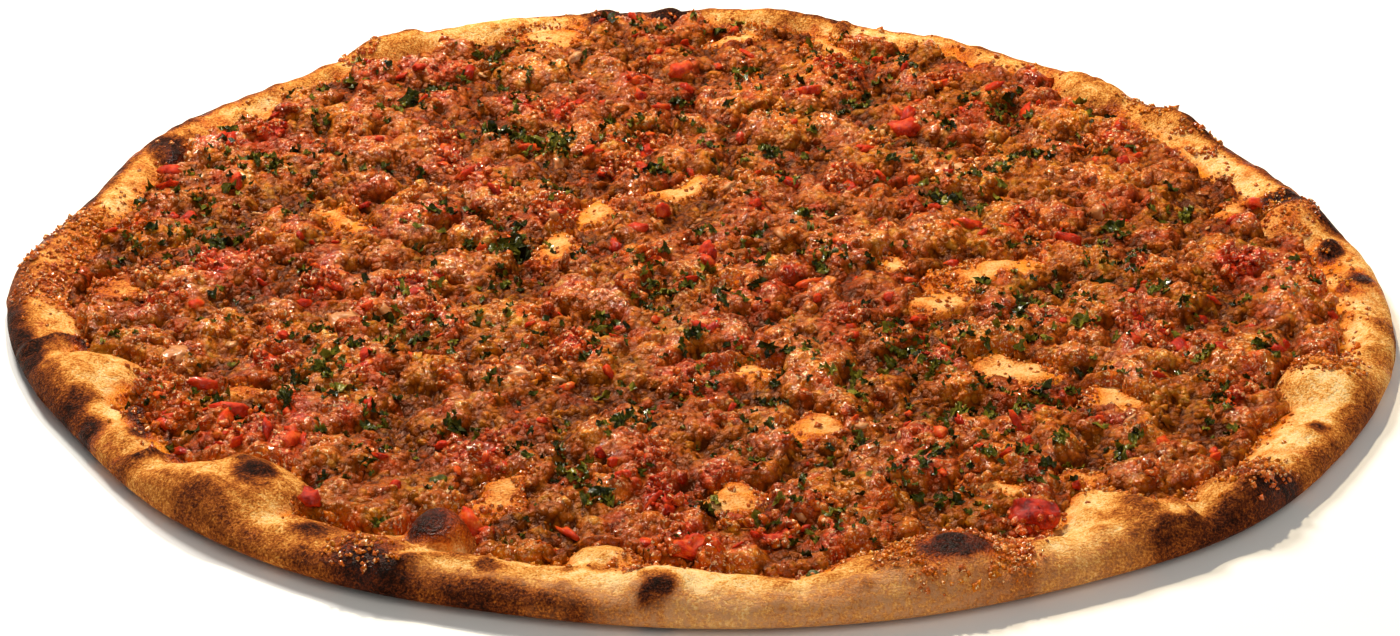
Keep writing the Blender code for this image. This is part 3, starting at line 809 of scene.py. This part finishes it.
seasoned = add(
    tree, "Mix",
    {MIX_SHARE: 1.0, MIX_FROM: meat.outputs["Color"], MIX_TO: paste.outputs["Color"]},
    data_type="RGBA", blend_type="MULTIPLY",
)  # fmt: skip
juicy = add(
    tree, "Mix",
    {MIX_SHARE: red, MIX_FROM: seasoned.outputs[MIXED], MIX_TO: linear("#F8662C")},
    data_type="RGBA", blend_type="MULTIPLY",
)  # fmt: skip

# %% Painted shade in the hollows of the mince, and painted glints of fat
# Painted shade: the gaps between crumb cells, and the hollows between clumps, mix the colour towards dark
# brown.
between = add(
    tree, "MapRange", {"Value": crumbs.outputs["Distance"], "From Min": 0.4, "From Max": 0.85, "To Max": 0.35}
)
painted_shade = add(tree, "Math", {0: cleft_shade, 1: 0.8, 2: between.outputs[0]}, operation="MULTIPLY_ADD", use_clamp=True)
shaded = add(
    tree, "Mix",
    {MIX_SHARE: painted_shade.outputs[0], MIX_FROM: juicy.outputs[MIXED], MIX_TO: linear("#481802")}, data_type="RGBA"
)
# Painted highlights: short, pale, bent lines on the tops, kept out of the painted shade, stand in for glints
# on set fat.
beads = add(tree, "TexNoise", {"Vector": place, "Scale": 1300.0, "Detail": 1.0})
strands = add(tree, "TexNoise", {"Vector": place, "Scale": 850.0, "Detail": 2.0, "Distortion": 0.8})
from_line = add(tree, "Math", {0: strands.outputs["Fac"], 1: 0.5, 2: 0.0}, operation="SUBTRACT")
from_line = add(tree, "Math", {0: from_line.outputs[0]}, operation="ABSOLUTE")
line = add(
    tree, "MapRange",
    {"Value": from_line.outputs[0], "From Min": 0.025, "From Max": 0.085, "To Min": 1.0, "To Max": 0.0},
)  # fmt: skip
broken = add(
    tree, "MapRange", {"Value": beads.outputs["Fac"], "From Min": 0.555, "From Max": 0.6, "To Max": 0.9}
)
fat_glint_lines = add(tree, "Math", {0: line.outputs[0], 1: broken.outputs[0]}, operation="MULTIPLY")
glint_place = add(
    tree, "MapRange", {"Value": cleft_shade, "From Min": 0.1, "From Max": 0.6, "To Min": 1.0, "To Max": 0.0}
)
painted_glint_share = add(tree, "Math", {0: fat_glint_lines.outputs[0], 1: glint_place.outputs[0]}, operation="MULTIPLY")
with_painted_glints = add(
    tree, "Mix",
    {MIX_SHARE: painted_glint_share.outputs[0], MIX_FROM: shaded.outputs[MIXED], MIX_TO: linear("#FFE0A4")},
    data_type="RGBA",
)

# %% Relief and shine of the mince
rounded = add(tree, "Math", {0: shreds.outputs["Fac"], 1: crumbs.outputs["Distance"]}, operation="SUBTRACT")
bump = add(tree, "Bump", {"Strength": 0.8, "Distance": 0.0009, "Height": rounded.outputs[0]})
drops = add(tree, "TexNoise", {"Vector": place, "Scale": 900.0, "Detail": 1.0})
sparkle = add(tree, "Bump", {"Strength": 1.0, "Distance": 0.001, "Height": drops.outputs["Fac"]})
wet = add(
    tree, "MapRange", {"Value": regions.outputs["Fac"], "From Min": 0.4, "From Max": 0.55, "To Min": 0.35}
)
film = add(tree, "MapRange", {"Value": painted_shade.outputs[0], "From Max": 0.7, "To Min": 1.0, "To Max": 0.0})
film = add(tree, "Math", {0: film.outputs[0], 1: wet.outputs[0]}, operation="MULTIPLY")
shader = add(
    tree,
    "BsdfPrincipled",
    {
        "Base Color": with_painted_glints.outputs[MIXED], "Roughness": 0.32, "IOR": 1.4, "Specular IOR Level": 0.26,
        "Specular Tint": linear("#FFAE54"),
        "Coat Weight": film.outputs[0], "Coat Roughness": 0.07, "Coat IOR": 1.55,
        "Coat Normal": sparkle.outputs["Normal"], "Normal": bump.outputs["Normal"],
    },
)  # fmt: skip
add(tree, "OutputMaterial", {"Surface": shader.outputs[0]})
make_piece("mince_bed", bed_mesh, baked_mince, ["mince_topping"])

# %% [markdown]
# ## Loose pieces
# Crumbs, herbs and bits are copies of a few small shapes, each with its own place, size, turn and colour
# value. Copies as objects would be thousands, so the copying is done on arrays: a small shape's points are
# turned, scaled and moved once for each copy, and all copies become one mesh.


# %% Copy small shapes into one mesh
def ball(subdivisions):
    """Points and triangles of a sphere of radius 1."""
    builder = bmesh.new()
    if subdivisions:
        bmesh.ops.create_icosphere(builder, subdivisions=subdivisions, radius=1.0)
    else:
        bmesh.ops.create_uvsphere(builder, u_segments=4, v_segments=2, radius=1.0)
    points = np.array([v.co[:] for v in builder.verts])
    faces = np.array([[v.index for v in f.verts] for f in builder.faces])
    builder.free()
    return points, faces


def uneven_balls(subdivisions, count, least, rng):
    """Some balls whose points are pushed in and out and which are stretched, as crumbs are."""
    points, faces = ball(subdivisions)
    shapes = []
    for _ in range(count):
        pushed = points * rng.uniform(least, 1.25, (len(points), 1)) * rng.uniform(0.7, 1.3, 3)
        shapes.append((pushed + rng.normal(0, 0.08, points.shape), faces))
    return shapes


SLOPE_STEP = 0.8  # millimetres to each side at which a slope is measured


def slope_turns(height_at, x, y, rng, wobble):
    """Turns that lay a flat shape on a surface, spun at random and tipped by about wobble."""
    rise_x = (height_at(x + SLOPE_STEP, y) - height_at(x - SLOPE_STEP, y)) / (2 * SLOPE_STEP)
    rise_y = (height_at(x, y + SLOPE_STEP) - height_at(x, y - SLOPE_STEP)) / (2 * SLOPE_STEP)
    up = np.stack([-rise_x, -rise_y, np.ones_like(x)], axis=1)
    up += wobble * rng.normal(size=up.shape)
    up /= np.linalg.norm(up, axis=1, keepdims=True)
    side = rng.normal(size=up.shape)
    side -= up * np.sum(side * up, axis=1, keepdims=True)
    side /= np.linalg.norm(side, axis=1, keepdims=True)
    return np.stack([side, np.cross(up, side), up], axis=2)


def sized(size, along=1.0, across=1.0, up=1.0):
    """The three sizes of each copy, as shares of one size."""
    return np.stack([along * size, across * size, up * size], axis=1)


def copies(shapes, places, sizes, turns, rng):
    """Points and faces of copies of shapes picked at random, and the copy that each point belongs to."""
    points, faces, owners, start = [], [], [], 0
    kind = rng.integers(len(shapes), size=len(places))
    for number, (shape, triangles) in enumerate(shapes):
        chosen = np.flatnonzero(kind == number)
        scaled = shape[None] * sizes[chosen][:, None]
        moved = np.einsum("nij,nkj->nki", turns[chosen], scaled) + places[chosen][:, None]
        points.append(moved.reshape(-1, 3))
        offsets = start + np.arange(len(chosen)) * len(shape)
        faces.append((triangles[None] + offsets[:, None, None]).reshape(-1, triangles.shape[1]))
        owners.append(np.repeat(chosen, len(shape)))
        start += len(chosen) * len(shape)
    return np.concatenate(points), np.concatenate(faces), np.concatenate(owners)


def joined(name, parts):
    """One mesh of several lots of copies. Each part is points, faces and a value for each point."""
    start, points, faces = 0, [], []
    for some_points, some_faces, _ in parts:
        points.append(some_points)
        faces += (some_faces + start).tolist()
        start += len(some_points)
    mesh = bpy.data.meshes.new(name)
    mesh.from_pydata((np.concatenate(points) * MM).tolist(), [], faces)
    write_values(mesh, "tone", np.concatenate([values for _, _, values in parts]))
    return mesh


SPREAD_HALF = 152.0  # half size of the square that places are drawn from


def spread(count, rng, keep, tries=3):
    """Up to count random places where keep says yes, out of tries times as many."""
    x, y = rng.uniform(-SPREAD_HALF, SPREAD_HALF, (2, tries * count))
    good = np.flatnonzero(keep(x, y))[:count]
    return x[good], y[good]


def surface(x, y):
    """Height of whatever lies on top, mince or bread."""
    return np.maximum(mince_height(x, y), bread_top(x, y))


def on_mince(x, y):
    return (inset(x, y) > 3.0) & (mince_height(x, y) > bread_top(x, y) + 0.2)


# %% Scatter loose crumbs of mince
rng = np.random.default_rng(50)


def laid(shapes, x, y, above, sizes, wobble):
    """Copies that lie on the surface, or above it by the given heights."""
    turns = slope_turns(surface, x, y, rng, wobble)
    return copies(shapes, np.stack([x, y, surface(x, y) + above], axis=1), sizes, turns, rng)


def crumbs_on(x, y, size, shapes, rise):
    """Crumbs of the given sizes lying on the surface, raised or sunk by a share of their size."""
    points, faces, owner = laid(shapes, x, y, rise * size, sized(size, up=0.8), 0.6)
    return points, faces, rng.random(len(x))[owner]


x, y = spread(3600, rng, on_mince)
small = crumbs_on(x, y, rng.uniform(0.4, 0.8, len(x)), uneven_balls(0, 12, 0.65, rng), 0.0)
x, y = spread(2200, rng, on_mince)
middle = crumbs_on(x, y, rng.uniform(0.7, 1.1, len(x)), uneven_balls(1, 12, 0.65, rng), -0.25)
x, y = spread(1550, rng, on_mince)
large = crumbs_on(x, y, rng.uniform(1.0, 1.9, len(x)), uneven_balls(2, 16, 0.8, rng), -0.35)
crumb_mesh = joined("loose_crumbs", [small, middle, large])
crumb_points = read_points(crumb_mesh)
# Loose crumbs take part of the painted shade of the mince under them.
write_values(crumb_mesh, "cleft_shade", 0.6 * mince_top(crumb_points[:, 0], crumb_points[:, 1])[2])
write_values(crumb_mesh, "red", redness(crumb_points[:, 0], crumb_points[:, 1]))
make_piece("loose_crumbs", crumb_mesh, baked_mince)


# %% Scatter crumbs on the bare bread
# Crumbs roll off the mince in the oven: many lie just outside it, in the bare patches and on some puffs.


def crumbly(x, y):
    """Says yes at random, and more often where more crumbs lie on the bare bread."""
    near = 0.32 * ease((5.0 - rim_rise(x, y)) / 4.0) * ease((inset(x, y) - 2.0) / 5.0)
    near += 2.2 * crusted(x, y)
    near *= 0.35 + 0.65 * ease(0.5 + soft_noise(x, y, 7, 51))
    in_patch = patch_distance(x, y)
    near = np.where(in_patch < 1.3, 0.06 + ease((in_patch - 0.6) / 0.6), near)
    left_bubble, right_bubble = CHARRED_BUBBLES
    near = np.where(blister_share(x, y, *left_bubble[:4]) > -0.3, 0.0, near)
    near = np.where(blister_share(x, y + 2.5, *right_bubble[:4]) > 0.2, 0.0, near)
    return (inset(x, y) > 1.0) & ~on_mince(x, y) & (rng.random(len(x)) < 0.6 * near)


x, y = spread(6500, rng, crumbly, tries=30)
size = rng.gamma(4.0, 0.1, len(x)) + 0.2
stray = crumbs_on(x, y, size, uneven_balls(0, 10, 0.6, rng), 0.15)
stray_mesh = joined("stray_crumbs", [(stray[0], stray[1], 0.2 + 0.6 * stray[2])])
# On stray crumbs the painted-shade value is random, so it darkens them as a tone.
write_values(stray_mesh, "cleft_shade", 0.25 * stray[2])
write_values(stray_mesh, "red", 0.15 * stray[2])
make_piece("stray_crumbs", stray_mesh, baked_mince)

# %% [markdown]
# ## Tomato and onion
# The diced pieces sit in the mince where the CAD model has its blocks, so each takes its place, size and
# turn from its block. A knife leaves flat sides and the oven softens them, so a piece is a ball pressed
# towards a box and then dented. Juice draws the mince against it, which leaves only the top free.


# %% Shape chunks like those blocks
BOXY = 3.2  # 2 leaves a ball as it is, and more presses it towards a box


def chunks(blocks, detail, dent, seed, rng, sunk=0.5):
    """Dented, box-like balls in the frames of blocks, sunk into the mince by a share of their half height."""
    shape, triangles = ball(detail)
    boxy = shape / (np.abs(shape) ** BOXY).sum(axis=1, keepdims=True) ** (1 / BOXY)
    points, faces, values = [], [], []
    for number, (centre, half, axes) in enumerate(blocks):
        pushed = (boxy * half * rng.uniform((0.6, 0.6, 0.5), (0.85, 0.85, 0.65))) @ axes.T
        u, v, w = (pushed + 17.0 * number).T
        pushed = pushed + dent * np.stack(
            [
                soft_noise(v, w, 3.4, seed) + 0.5 * soft_noise(v + w, u, 1.5, seed + 1),
                soft_noise(u, w, 3.4, seed + 2) + 0.5 * soft_noise(u + w, v, 1.5, seed + 3),
                0.8 * soft_noise(u, v, 2.8, seed + 4) + 0.5 * soft_noise(u + v, w, 1.3, seed + 5),
            ],
            axis=1,
        )
        ring = np.linspace(0, math.tau, 9)
        lying = surface(centre[0] + half[0] * np.cos(ring), centre[1] + half[0] * np.sin(ring)).mean()
        height = min(max(lying - sunk * half[2], centre[2] - 3.0), centre[2] + 0.6)
        points.append(pushed + [centre[0], centre[1], height])
        faces.append(triangles + number * len(shape))
        values.append(np.full(len(shape), rng.random()))
    return np.concatenate(points), np.concatenate(faces), np.concatenate(values)


def table_blocks(rows):
    """Block frames from rows of x, y, length, width, height and turn."""
    blocks = []
    for centre_x, centre_y, length, width, height, turn in rows:
        cos, sin = math.cos(math.radians(turn)), math.sin(math.radians(turn))
        z = float(surface(np.array([centre_x]), np.array([centre_y]))[0])
        axes = np.array([[cos, -sin, 0.0], [sin, cos, 0.0], [0.0, 0.0, 1.0]])
        blocks.append((np.array([centre_x, centre_y, z]), np.array([length, width, height]) / 2, axes))
    return blocks


def crumbs_around(blocks, count):
    """Crumbs that lean on chunks, a few of them on top."""
    x, y = [], []
    for centre, half, axes in blocks:
        turn = rng.uniform(0, math.tau, count)
        reach = rng.uniform(0.6, 1.15, count)
        along, across = half[0] * np.cos(turn), half[1] * np.sin(turn)
        x.append(centre[0] + reach * (along * axes[0, 0] + across * axes[0, 1]))
        y.append(centre[1] + reach * (along * axes[1, 0] + across * axes[1, 1]))
    x, y = np.concatenate(x), np.concatenate(y)
    size = rng.uniform(0.6, 1.25, len(x))
    z = surface(x, y) + rng.uniform(0.2, 1.9, len(x))
    turns = slope_turns(surface, x, y, rng, 0.8)
    shapes = uneven_balls(1, 8, 0.62, rng)
    points, faces, owner = copies(shapes, np.stack([x, y, z], axis=1), sized(size), turns, rng)
    return points, faces, rng.random(len(x))[owner]


def in_red(x, y):
    """Says yes on the mince at random, and more often where it is red."""
    return on_mince(x, y) & (rng.random(len(x)) < 0.12 + 0.88 * redness(x, y))


# %% Tomato pieces, with small bits between them
SMEAR_BLOCKS = table_blocks(SMEARS)
x, y = spread(330, rng, in_red, 12)
length = rng.gamma(5.0, 0.42, len(x)) + 0.8
tomato_bits = laid(uneven_balls(2, 14, 0.6, rng), x, y, 0.1, sized(length, 0.65, 0.42, 0.26), 0.4)
tomato_mesh = joined(
    "tomato_pieces",
    [
        chunks(TOMATO_BLOCKS, 4, 1.2, 60, rng, 0.7),
        chunks(SMEAR_BLOCKS, 3, 1.0, 66, rng),
        (tomato_bits[0], tomato_bits[1], rng.random(len(x))[tomato_bits[2]]),
    ],
)

# %% Onion pieces, and crumbs that lean on all of them
# Slivers of onion, in the order of the smears of tomato above.
SLIVERS = (
    (-30, -51, 6, 4, 3, 20), (57, -95, 6, 4, 2.5, 70), (6, -116, 5, 3, 2.5, 0), (-72, -57, 6, 4, 3, 40),
    (44, 67, 6, 3, 2.5, 10), (92, -96, 5, 3, 2.5, 60), (-63, 34, 7, 4, 3, 15), (-120, -12, 7, 6, 3, 0),
    (66, 60, 9, 3, 2.5, 30), (-90, -28, 6, 5, 3, 0), (20, 88, 6, 3, 2.5, 80), (-14, 60, 5, 3, 2.5, 40),
)  # fmt: skip
SLIVER_BLOCKS = table_blocks(SLIVERS)
x, y = spread(45, rng, on_mince)
length = rng.gamma(5.0, 0.42, len(x)) + 0.9
onion_bits = laid(uneven_balls(2, 14, 0.6, rng), x, y, -0.1, sized(length, 0.6, 0.45, 0.16), 0.3)
onion_mesh = joined(
    "onion_pieces",
    [
        chunks(ONION_BLOCKS, 4, 0.6, 72, rng, 0.1),
        chunks(SLIVER_BLOCKS, 3, 0.7, 78, rng, 0.1),
        (onion_bits[0], onion_bits[1], rng.random(len(x))[onion_bits[2]]),
    ],
)
around_tomato = crumbs_around(TOMATO_BLOCKS + SMEAR_BLOCKS, 26)
around_onion = crumbs_around(ONION_BLOCKS + SLIVER_BLOCKS, 14)
leaning = [around_tomato, around_onion]
leaning_mesh = joined("leaning_crumbs", leaning)
# On leaning crumbs the painted-shade value is random, so it darkens them as a tone.
write_values(leaning_mesh, "cleft_shade", 0.2 * np.concatenate([values for _, _, values in leaning]))
write_values(leaning_mesh, "red", redness(*read_points(leaning_mesh).T[:2]) * 0.8)
make_piece("leaning_crumbs", leaning_mesh, baked_mince)

# %% [markdown]
# ## Baked tomato flesh
# Tomato holds water, so light goes deep into it and comes back red, and its wet face shines sharply. The
# colour runs from bright orange-red flesh to dark red skin, in streaks of 2.4 mm. The skin's relief has
# waves of 1.8 mm, and the juice on it has finer ones of 0.8 mm.

# %% Tomato material
tomato_flesh, tree = new_material("baked_tomato_flesh")
place = add(tree, "TexCoord").outputs["Object"]
tone = add(tree, "Attribute", attribute_name="tone").outputs["Fac"]
pulp = add(tree, "TexNoise", {"Vector": place, "Scale": 420.0, "Detail": 4.0, "Roughness": 0.65})
mixed = add(tree, "Math", {0: tone, 1: 0.22, 2: pulp.outputs["Fac"]}, operation="MULTIPLY_ADD")
flesh = add(
    tree,
    "ValToRGB",
    {"Fac": mixed.outputs[0]},
    stops=[(0.36, "#681002"), (0.5, "#A62004"), (0.64, "#C4340A"), (0.78, "#D45616"), (0.92, "#E08A30")],
)
skin_relief = add(tree, "TexNoise", {"Vector": place, "Scale": 550.0, "Detail": 3.0})
bump = add(tree, "Bump", {"Strength": 0.55, "Distance": 0.0009, "Height": skin_relief.outputs["Fac"]})
juice = add(tree, "TexNoise", {"Vector": place, "Scale": 1300.0, "Detail": 2.0})
glints = add(
    tree, "Bump",
    {"Strength": 0.9, "Distance": 0.001, "Height": juice.outputs["Fac"], "Normal": bump.outputs["Normal"]},
)  # fmt: skip
shader = add(
    tree,
    "BsdfPrincipled",
    {
        "Base Color": flesh.outputs["Color"], "Roughness": 0.5, "IOR": 1.36, "Specular IOR Level": 0.06,
        "Coat Weight": 0.6, "Coat IOR": 1.35, "Coat Roughness": 0.05, "Subsurface Weight": 0.2,
        "Subsurface Radius": (1.0, 0.2, 0.08), "Subsurface Scale": 0.002, "Normal": bump.outputs["Normal"],
        "Coat Normal": glints.outputs["Normal"],
    },
)  # fmt: skip
add(tree, "OutputMaterial", {"Surface": shader.outputs[0]})
make_piece("tomato_pieces", tomato_mesh, tomato_flesh, TOMATO_NODES)

# %% [markdown]
# ## Sweated onion
# Onion that cooked in fat is half clear: its layers show as pale streaks 3 mm apart, and the pepper paste
# tints it.

# %% Onion material
onion_flesh, tree = new_material("sweated_onion")
place = add(tree, "TexCoord").outputs["Object"]
tone = add(tree, "Attribute", attribute_name="tone").outputs["Fac"]
layers = add(tree, "TexNoise", {"Vector": place, "Scale": 350.0, "Detail": 3.0, "Distortion": 1.0})
mixed = add(tree, "Math", {0: tone, 1: 0.25, 2: layers.outputs["Fac"]}, operation="MULTIPLY_ADD")
flesh = add(
    tree,
    "ValToRGB",
    {"Fac": mixed.outputs[0]},
    stops=[(0.38, "#984C1C"), (0.56, "#B66E38"), (0.75, "#C88C58"), (0.95, "#DAAE80")],
)
bump = add(tree, "Bump", {"Strength": 0.5, "Distance": 0.0006, "Height": layers.outputs["Fac"]})
shader = add(
    tree,
    "BsdfPrincipled",
    {
        "Base Color": flesh.outputs["Color"], "Roughness": 0.45, "IOR": 1.38, "Specular IOR Level": 0.15,
        "Coat Weight": 0.4, "Coat Roughness": 0.08, "Subsurface Weight": 0.4,
        "Subsurface Radius": (1.0, 0.6, 0.4), "Subsurface Scale": 0.002, "Normal": bump.outputs["Normal"],
    },
)  # fmt: skip
add(tree, "OutputMaterial", {"Surface": shader.outputs[0]})
make_piece("onion_pieces", onion_mesh, onion_flesh, ONION_NODES)

# %% [markdown]
# ## Parsley
# Flat-leaf parsley is chopped by hand: more than two thousand flecks, most of them 2 to 5 mm long, and
# some torn leaves of 6 to 11 mm, which lie in drifts. Baked leaves are dark green, thin and crinkled, and
# the fat wets them.


# %% Parsley flecks and leaves
def leaf_shape(rings, lobes, crinkle, rng):
    """A torn leaf of half length 1: a disc with a lobed outline, crumpled up and down."""
    sides = 4 + 4 * rings
    points, faces = [(0.0, 0.0, 0.0)], []
    phase = rng.uniform(0, math.tau)
    torn = rng.uniform(0.6, 1.1, sides)
    for ring in range(1, rings + 1):
        for side in range(sides):
            turn = math.tau * side / sides
            reach = ring / rings * (0.78 + 0.22 * math.cos(lobes * turn + phase)) * torn[side]
            height = crinkle * rng.uniform(-1, 1) * (0.3 + ring / rings)
            points.append((reach * math.cos(turn), 0.62 * reach * math.sin(turn), height))
    for side in range(sides):
        following = (side + 1) % sides
        faces.append((0, 1 + side, 1 + following))
        for ring in range(rings - 1):
            a, b = 1 + ring * sides + side, 1 + ring * sides + following
            faces += [(a, a + sides, b + sides), (a, b + sides, b)]
    return np.array(points), np.array(faces)


# Torn leaves and drifts of flecks: x, y, half length of the leaf, flecks around it.
LEAVES = (
    (-40, 12, 6, 40), (-47, 73, 5, 40), (-40, 70, 5, 30), (-33, 65, 4, 30), (70, -25, 5, 12),
    (95, 22, 4, 6), (55, -67, 4, 12), (62, -66, 4, 10), (-8, -12, 4, 16), (120, -42, 3, 10),
    (-80, -50, 4, 14),
    (-120, 0, 3, 8), (58, 40, 4, 16), (64, 34, 4, 10), (-5, 92, 3, 10), (-108, 12, 5, 10), (40, 92, 3, 12),
    (24, 26, 3, 10), (-60, -35, 4, 16), (-16, -76, 4, 12), (2, -112, 4, 6), (100, -14, 3, 10),
    (-86, -66, 4, 12), (-74, -62, 4, 10), (30, 5, 3, 14), (-22, -30, 4, 14), (10, 112, 3, 10),
    (-70, 92, 4, 12), (112, 30, 3, 8), (80, 60, 3, 12), (-26, -96, 3, 12), (34, -60, 3, 12),
    (88, -84, 3, 8), (-100, 52, 4, 10), (46, -40, 3, 12), (-10, 50, 3, 10), (16, 60, 3, 14),
    (-50, -75, 3, 12), (-18, -104, 4, 16), (110, -62, 3, 12), (50, -50, 3, 14), (-30, 40, 3, 10),
)  # fmt: skip


def in_drift(x, y):
    """Says yes on the mince at random, and more often where a drift of parsley fell."""
    drift = 0.2 + 0.7 * soft_noise(x, y, 20, 81) + 1.1 * soft_noise(x, y, 8, 82)
    return on_mince(x, y) & (rng.random(len(x)) < drift)


def leaves(x, y, size, above, wobble, kinds, **shape):
    """Leaves of the given half lengths on the surface, each a copy of one of some kinds."""
    turns = slope_turns(surface, x, y, rng, wobble)
    places = np.stack([x, y, surface(x, y) + above], axis=1)
    shapes = [leaf_shape(rng=rng, **shape) for _ in range(kinds)]
    points, faces, owner = copies(shapes, places, sized(size), turns, rng)
    return points, faces, rng.random(len(x))[owner]


x, y = spread(1800, rng, in_drift, 8)
extra = np.repeat(np.array(LEAVES, dtype=float), [row[3] for row in LEAVES], axis=0)
near = rng.normal(0, 0.75, (len(extra), 2)) * extra[:, 2:3]
x, y = np.append(x, extra[:, 0] + near[:, 0]), np.append(y, extra[:, 1] + near[:, 1])
size = rng.gamma(4.0, 0.25, len(x)) + 0.5
flecks = leaves(x, y, size, 0.3 + 0.08 * size, 0.4, 10, rings=2, lobes=3, crinkle=0.4)
x, y, size, _ = np.array(LEAVES, dtype=float).T
torn_leaves = leaves(x, y, 0.95 * size, 0.6, 0.1, 7, rings=4, lobes=5, crinkle=0.3)
parsley_mesh = joined("parsley", [flecks, torn_leaves])

# %% Bits of green pepper
# In the order of the smears of tomato above.
PEPPERS = ((-53, -97, 7, 5, 3.5, 30), (23, -134, 6, 5, 3, 80), (-118, 38, 4, 3, 2.5, 0))
pepper_mesh = joined("green_pepper", [chunks(table_blocks(PEPPERS), 3, 0.4, 84, rng)])

# %% Parsley material
parsley, tree = new_material("baked_parsley")
place = add(tree, "TexCoord").outputs["Object"]
tone = add(tree, "Attribute", attribute_name="tone").outputs["Fac"]
veins = add(tree, "TexNoise", {"Vector": place, "Scale": 700.0, "Detail": 3.0})
mixed = add(tree, "Math", {0: tone, 1: 0.5, 2: veins.outputs["Fac"]}, operation="MULTIPLY_ADD")
green = add(
    tree,
    "ValToRGB",
    {"Fac": mixed.outputs[0]},
    stops=[(0.35, "#161702"), (0.6, "#2C2E05"), (0.8, "#484A0A"), (1.0, "#7A701C")],
)
bump = add(tree, "Bump", {"Strength": 0.8, "Distance": 0.0007, "Height": veins.outputs["Fac"]})
shader = add(
    tree,
    "BsdfPrincipled",
    {
        "Base Color": green.outputs["Color"], "Roughness": 0.5, "IOR": 1.4, "Specular IOR Level": 0.05,
        "Coat Weight": 0.5, "Coat IOR": 1.3, "Coat Roughness": 0.05, "Normal": bump.outputs["Normal"],
        "Coat Normal": bump.outputs["Normal"],
    },
)  # fmt: skip
add(tree, "OutputMaterial", {"Surface": shader.outputs[0]})
make_piece("parsley", parsley_mesh, parsley)
make_piece("green_pepper", pepper_mesh, parsley)

# %% [markdown]
# ## Table, light and camera
# A pale table and a few lamps show food as a studio does. The main lamp stands high and behind, so that
# the crumbs get bright edges, and a very small one beside it sets sharp glints on the fat. The weaker one
# in front keeps the rim's near side readable, and it is broad, so that it sets no glints of its own.

# %% Table
table_mesh = bpy.data.meshes.new("table")
builder = bmesh.new()
bmesh.ops.create_grid(builder, x_segments=1, y_segments=1, size=4.0)
builder.to_mesh(table_mesh)
builder.free()
pale_table = bpy.data.materials.new("pale_table")
pale_table.use_nodes = True
pale_table.node_tree.nodes["Principled BSDF"].inputs["Base Color"].default_value = linear("#F6F5F3")
pale_table.node_tree.nodes["Principled BSDF"].inputs["Roughness"].default_value = 0.9
table_mesh.materials.append(pale_table)
table = bpy.data.objects.new("table", table_mesh)
bpy.context.scene.collection.objects.link(table)

# %% Lamps and surroundings
world = bpy.data.worlds.new("studio")
world.use_nodes = True
world.node_tree.nodes["Background"].inputs["Color"].default_value = (1.0, 1.0, 1.0, 1.0)
world.node_tree.nodes["Background"].inputs["Strength"].default_value = 0.15
bpy.context.scene.world = world
# Lamps: name, place, size across in metres, power in watts, colour.
for name, place, size, power, colour in (
    ("main_lamp", (-0.4, 0.6, 0.8), 0.25, 11.0, "#FFFAF0"),
    ("spark_lamp", (-0.1, 0.6, 0.85), 0.06, 9.0, "#FFECC8"),
    ("front_lamp", (0.25, -0.9, 0.8), 1.0, 5.4, "#FFFAF0"),
):
    lamp = bpy.data.lights.new(name, "AREA")
    lamp.color = linear(colour)[:3]
    lamp.shape, lamp.size, lamp.energy = "DISK", size, power
    holder = bpy.data.objects.new(name, lamp)
    holder.location = place
    holder.rotation_euler = (-Vector(place)).to_track_quat("-Z", "Y").to_euler()
    bpy.context.scene.collection.objects.link(holder)

# %% Camera
ELEVATION = math.radians(26.75)  # of the camera above the table
DISTANCE = 0.9  # metres from the camera to the middle
aim = Vector((0.00056, -0.0116, 0.0))
camera = bpy.data.objects.new("camera", bpy.data.cameras.new("camera"))
camera.data.lens = 104.5
camera.data.sensor_width = 36.0
camera.data.clip_start = 0.05
camera.location = aim + DISTANCE * Vector((0.0, -math.cos(ELEVATION), math.sin(ELEVATION)))
camera.rotation_euler = (aim - camera.location).to_track_quat("-Z", "Y").to_euler()
bpy.context.scene.collection.objects.link(camera)
bpy.context.scene.camera = camera
bpy.context.scene.view_settings.view_transform = "Standard"
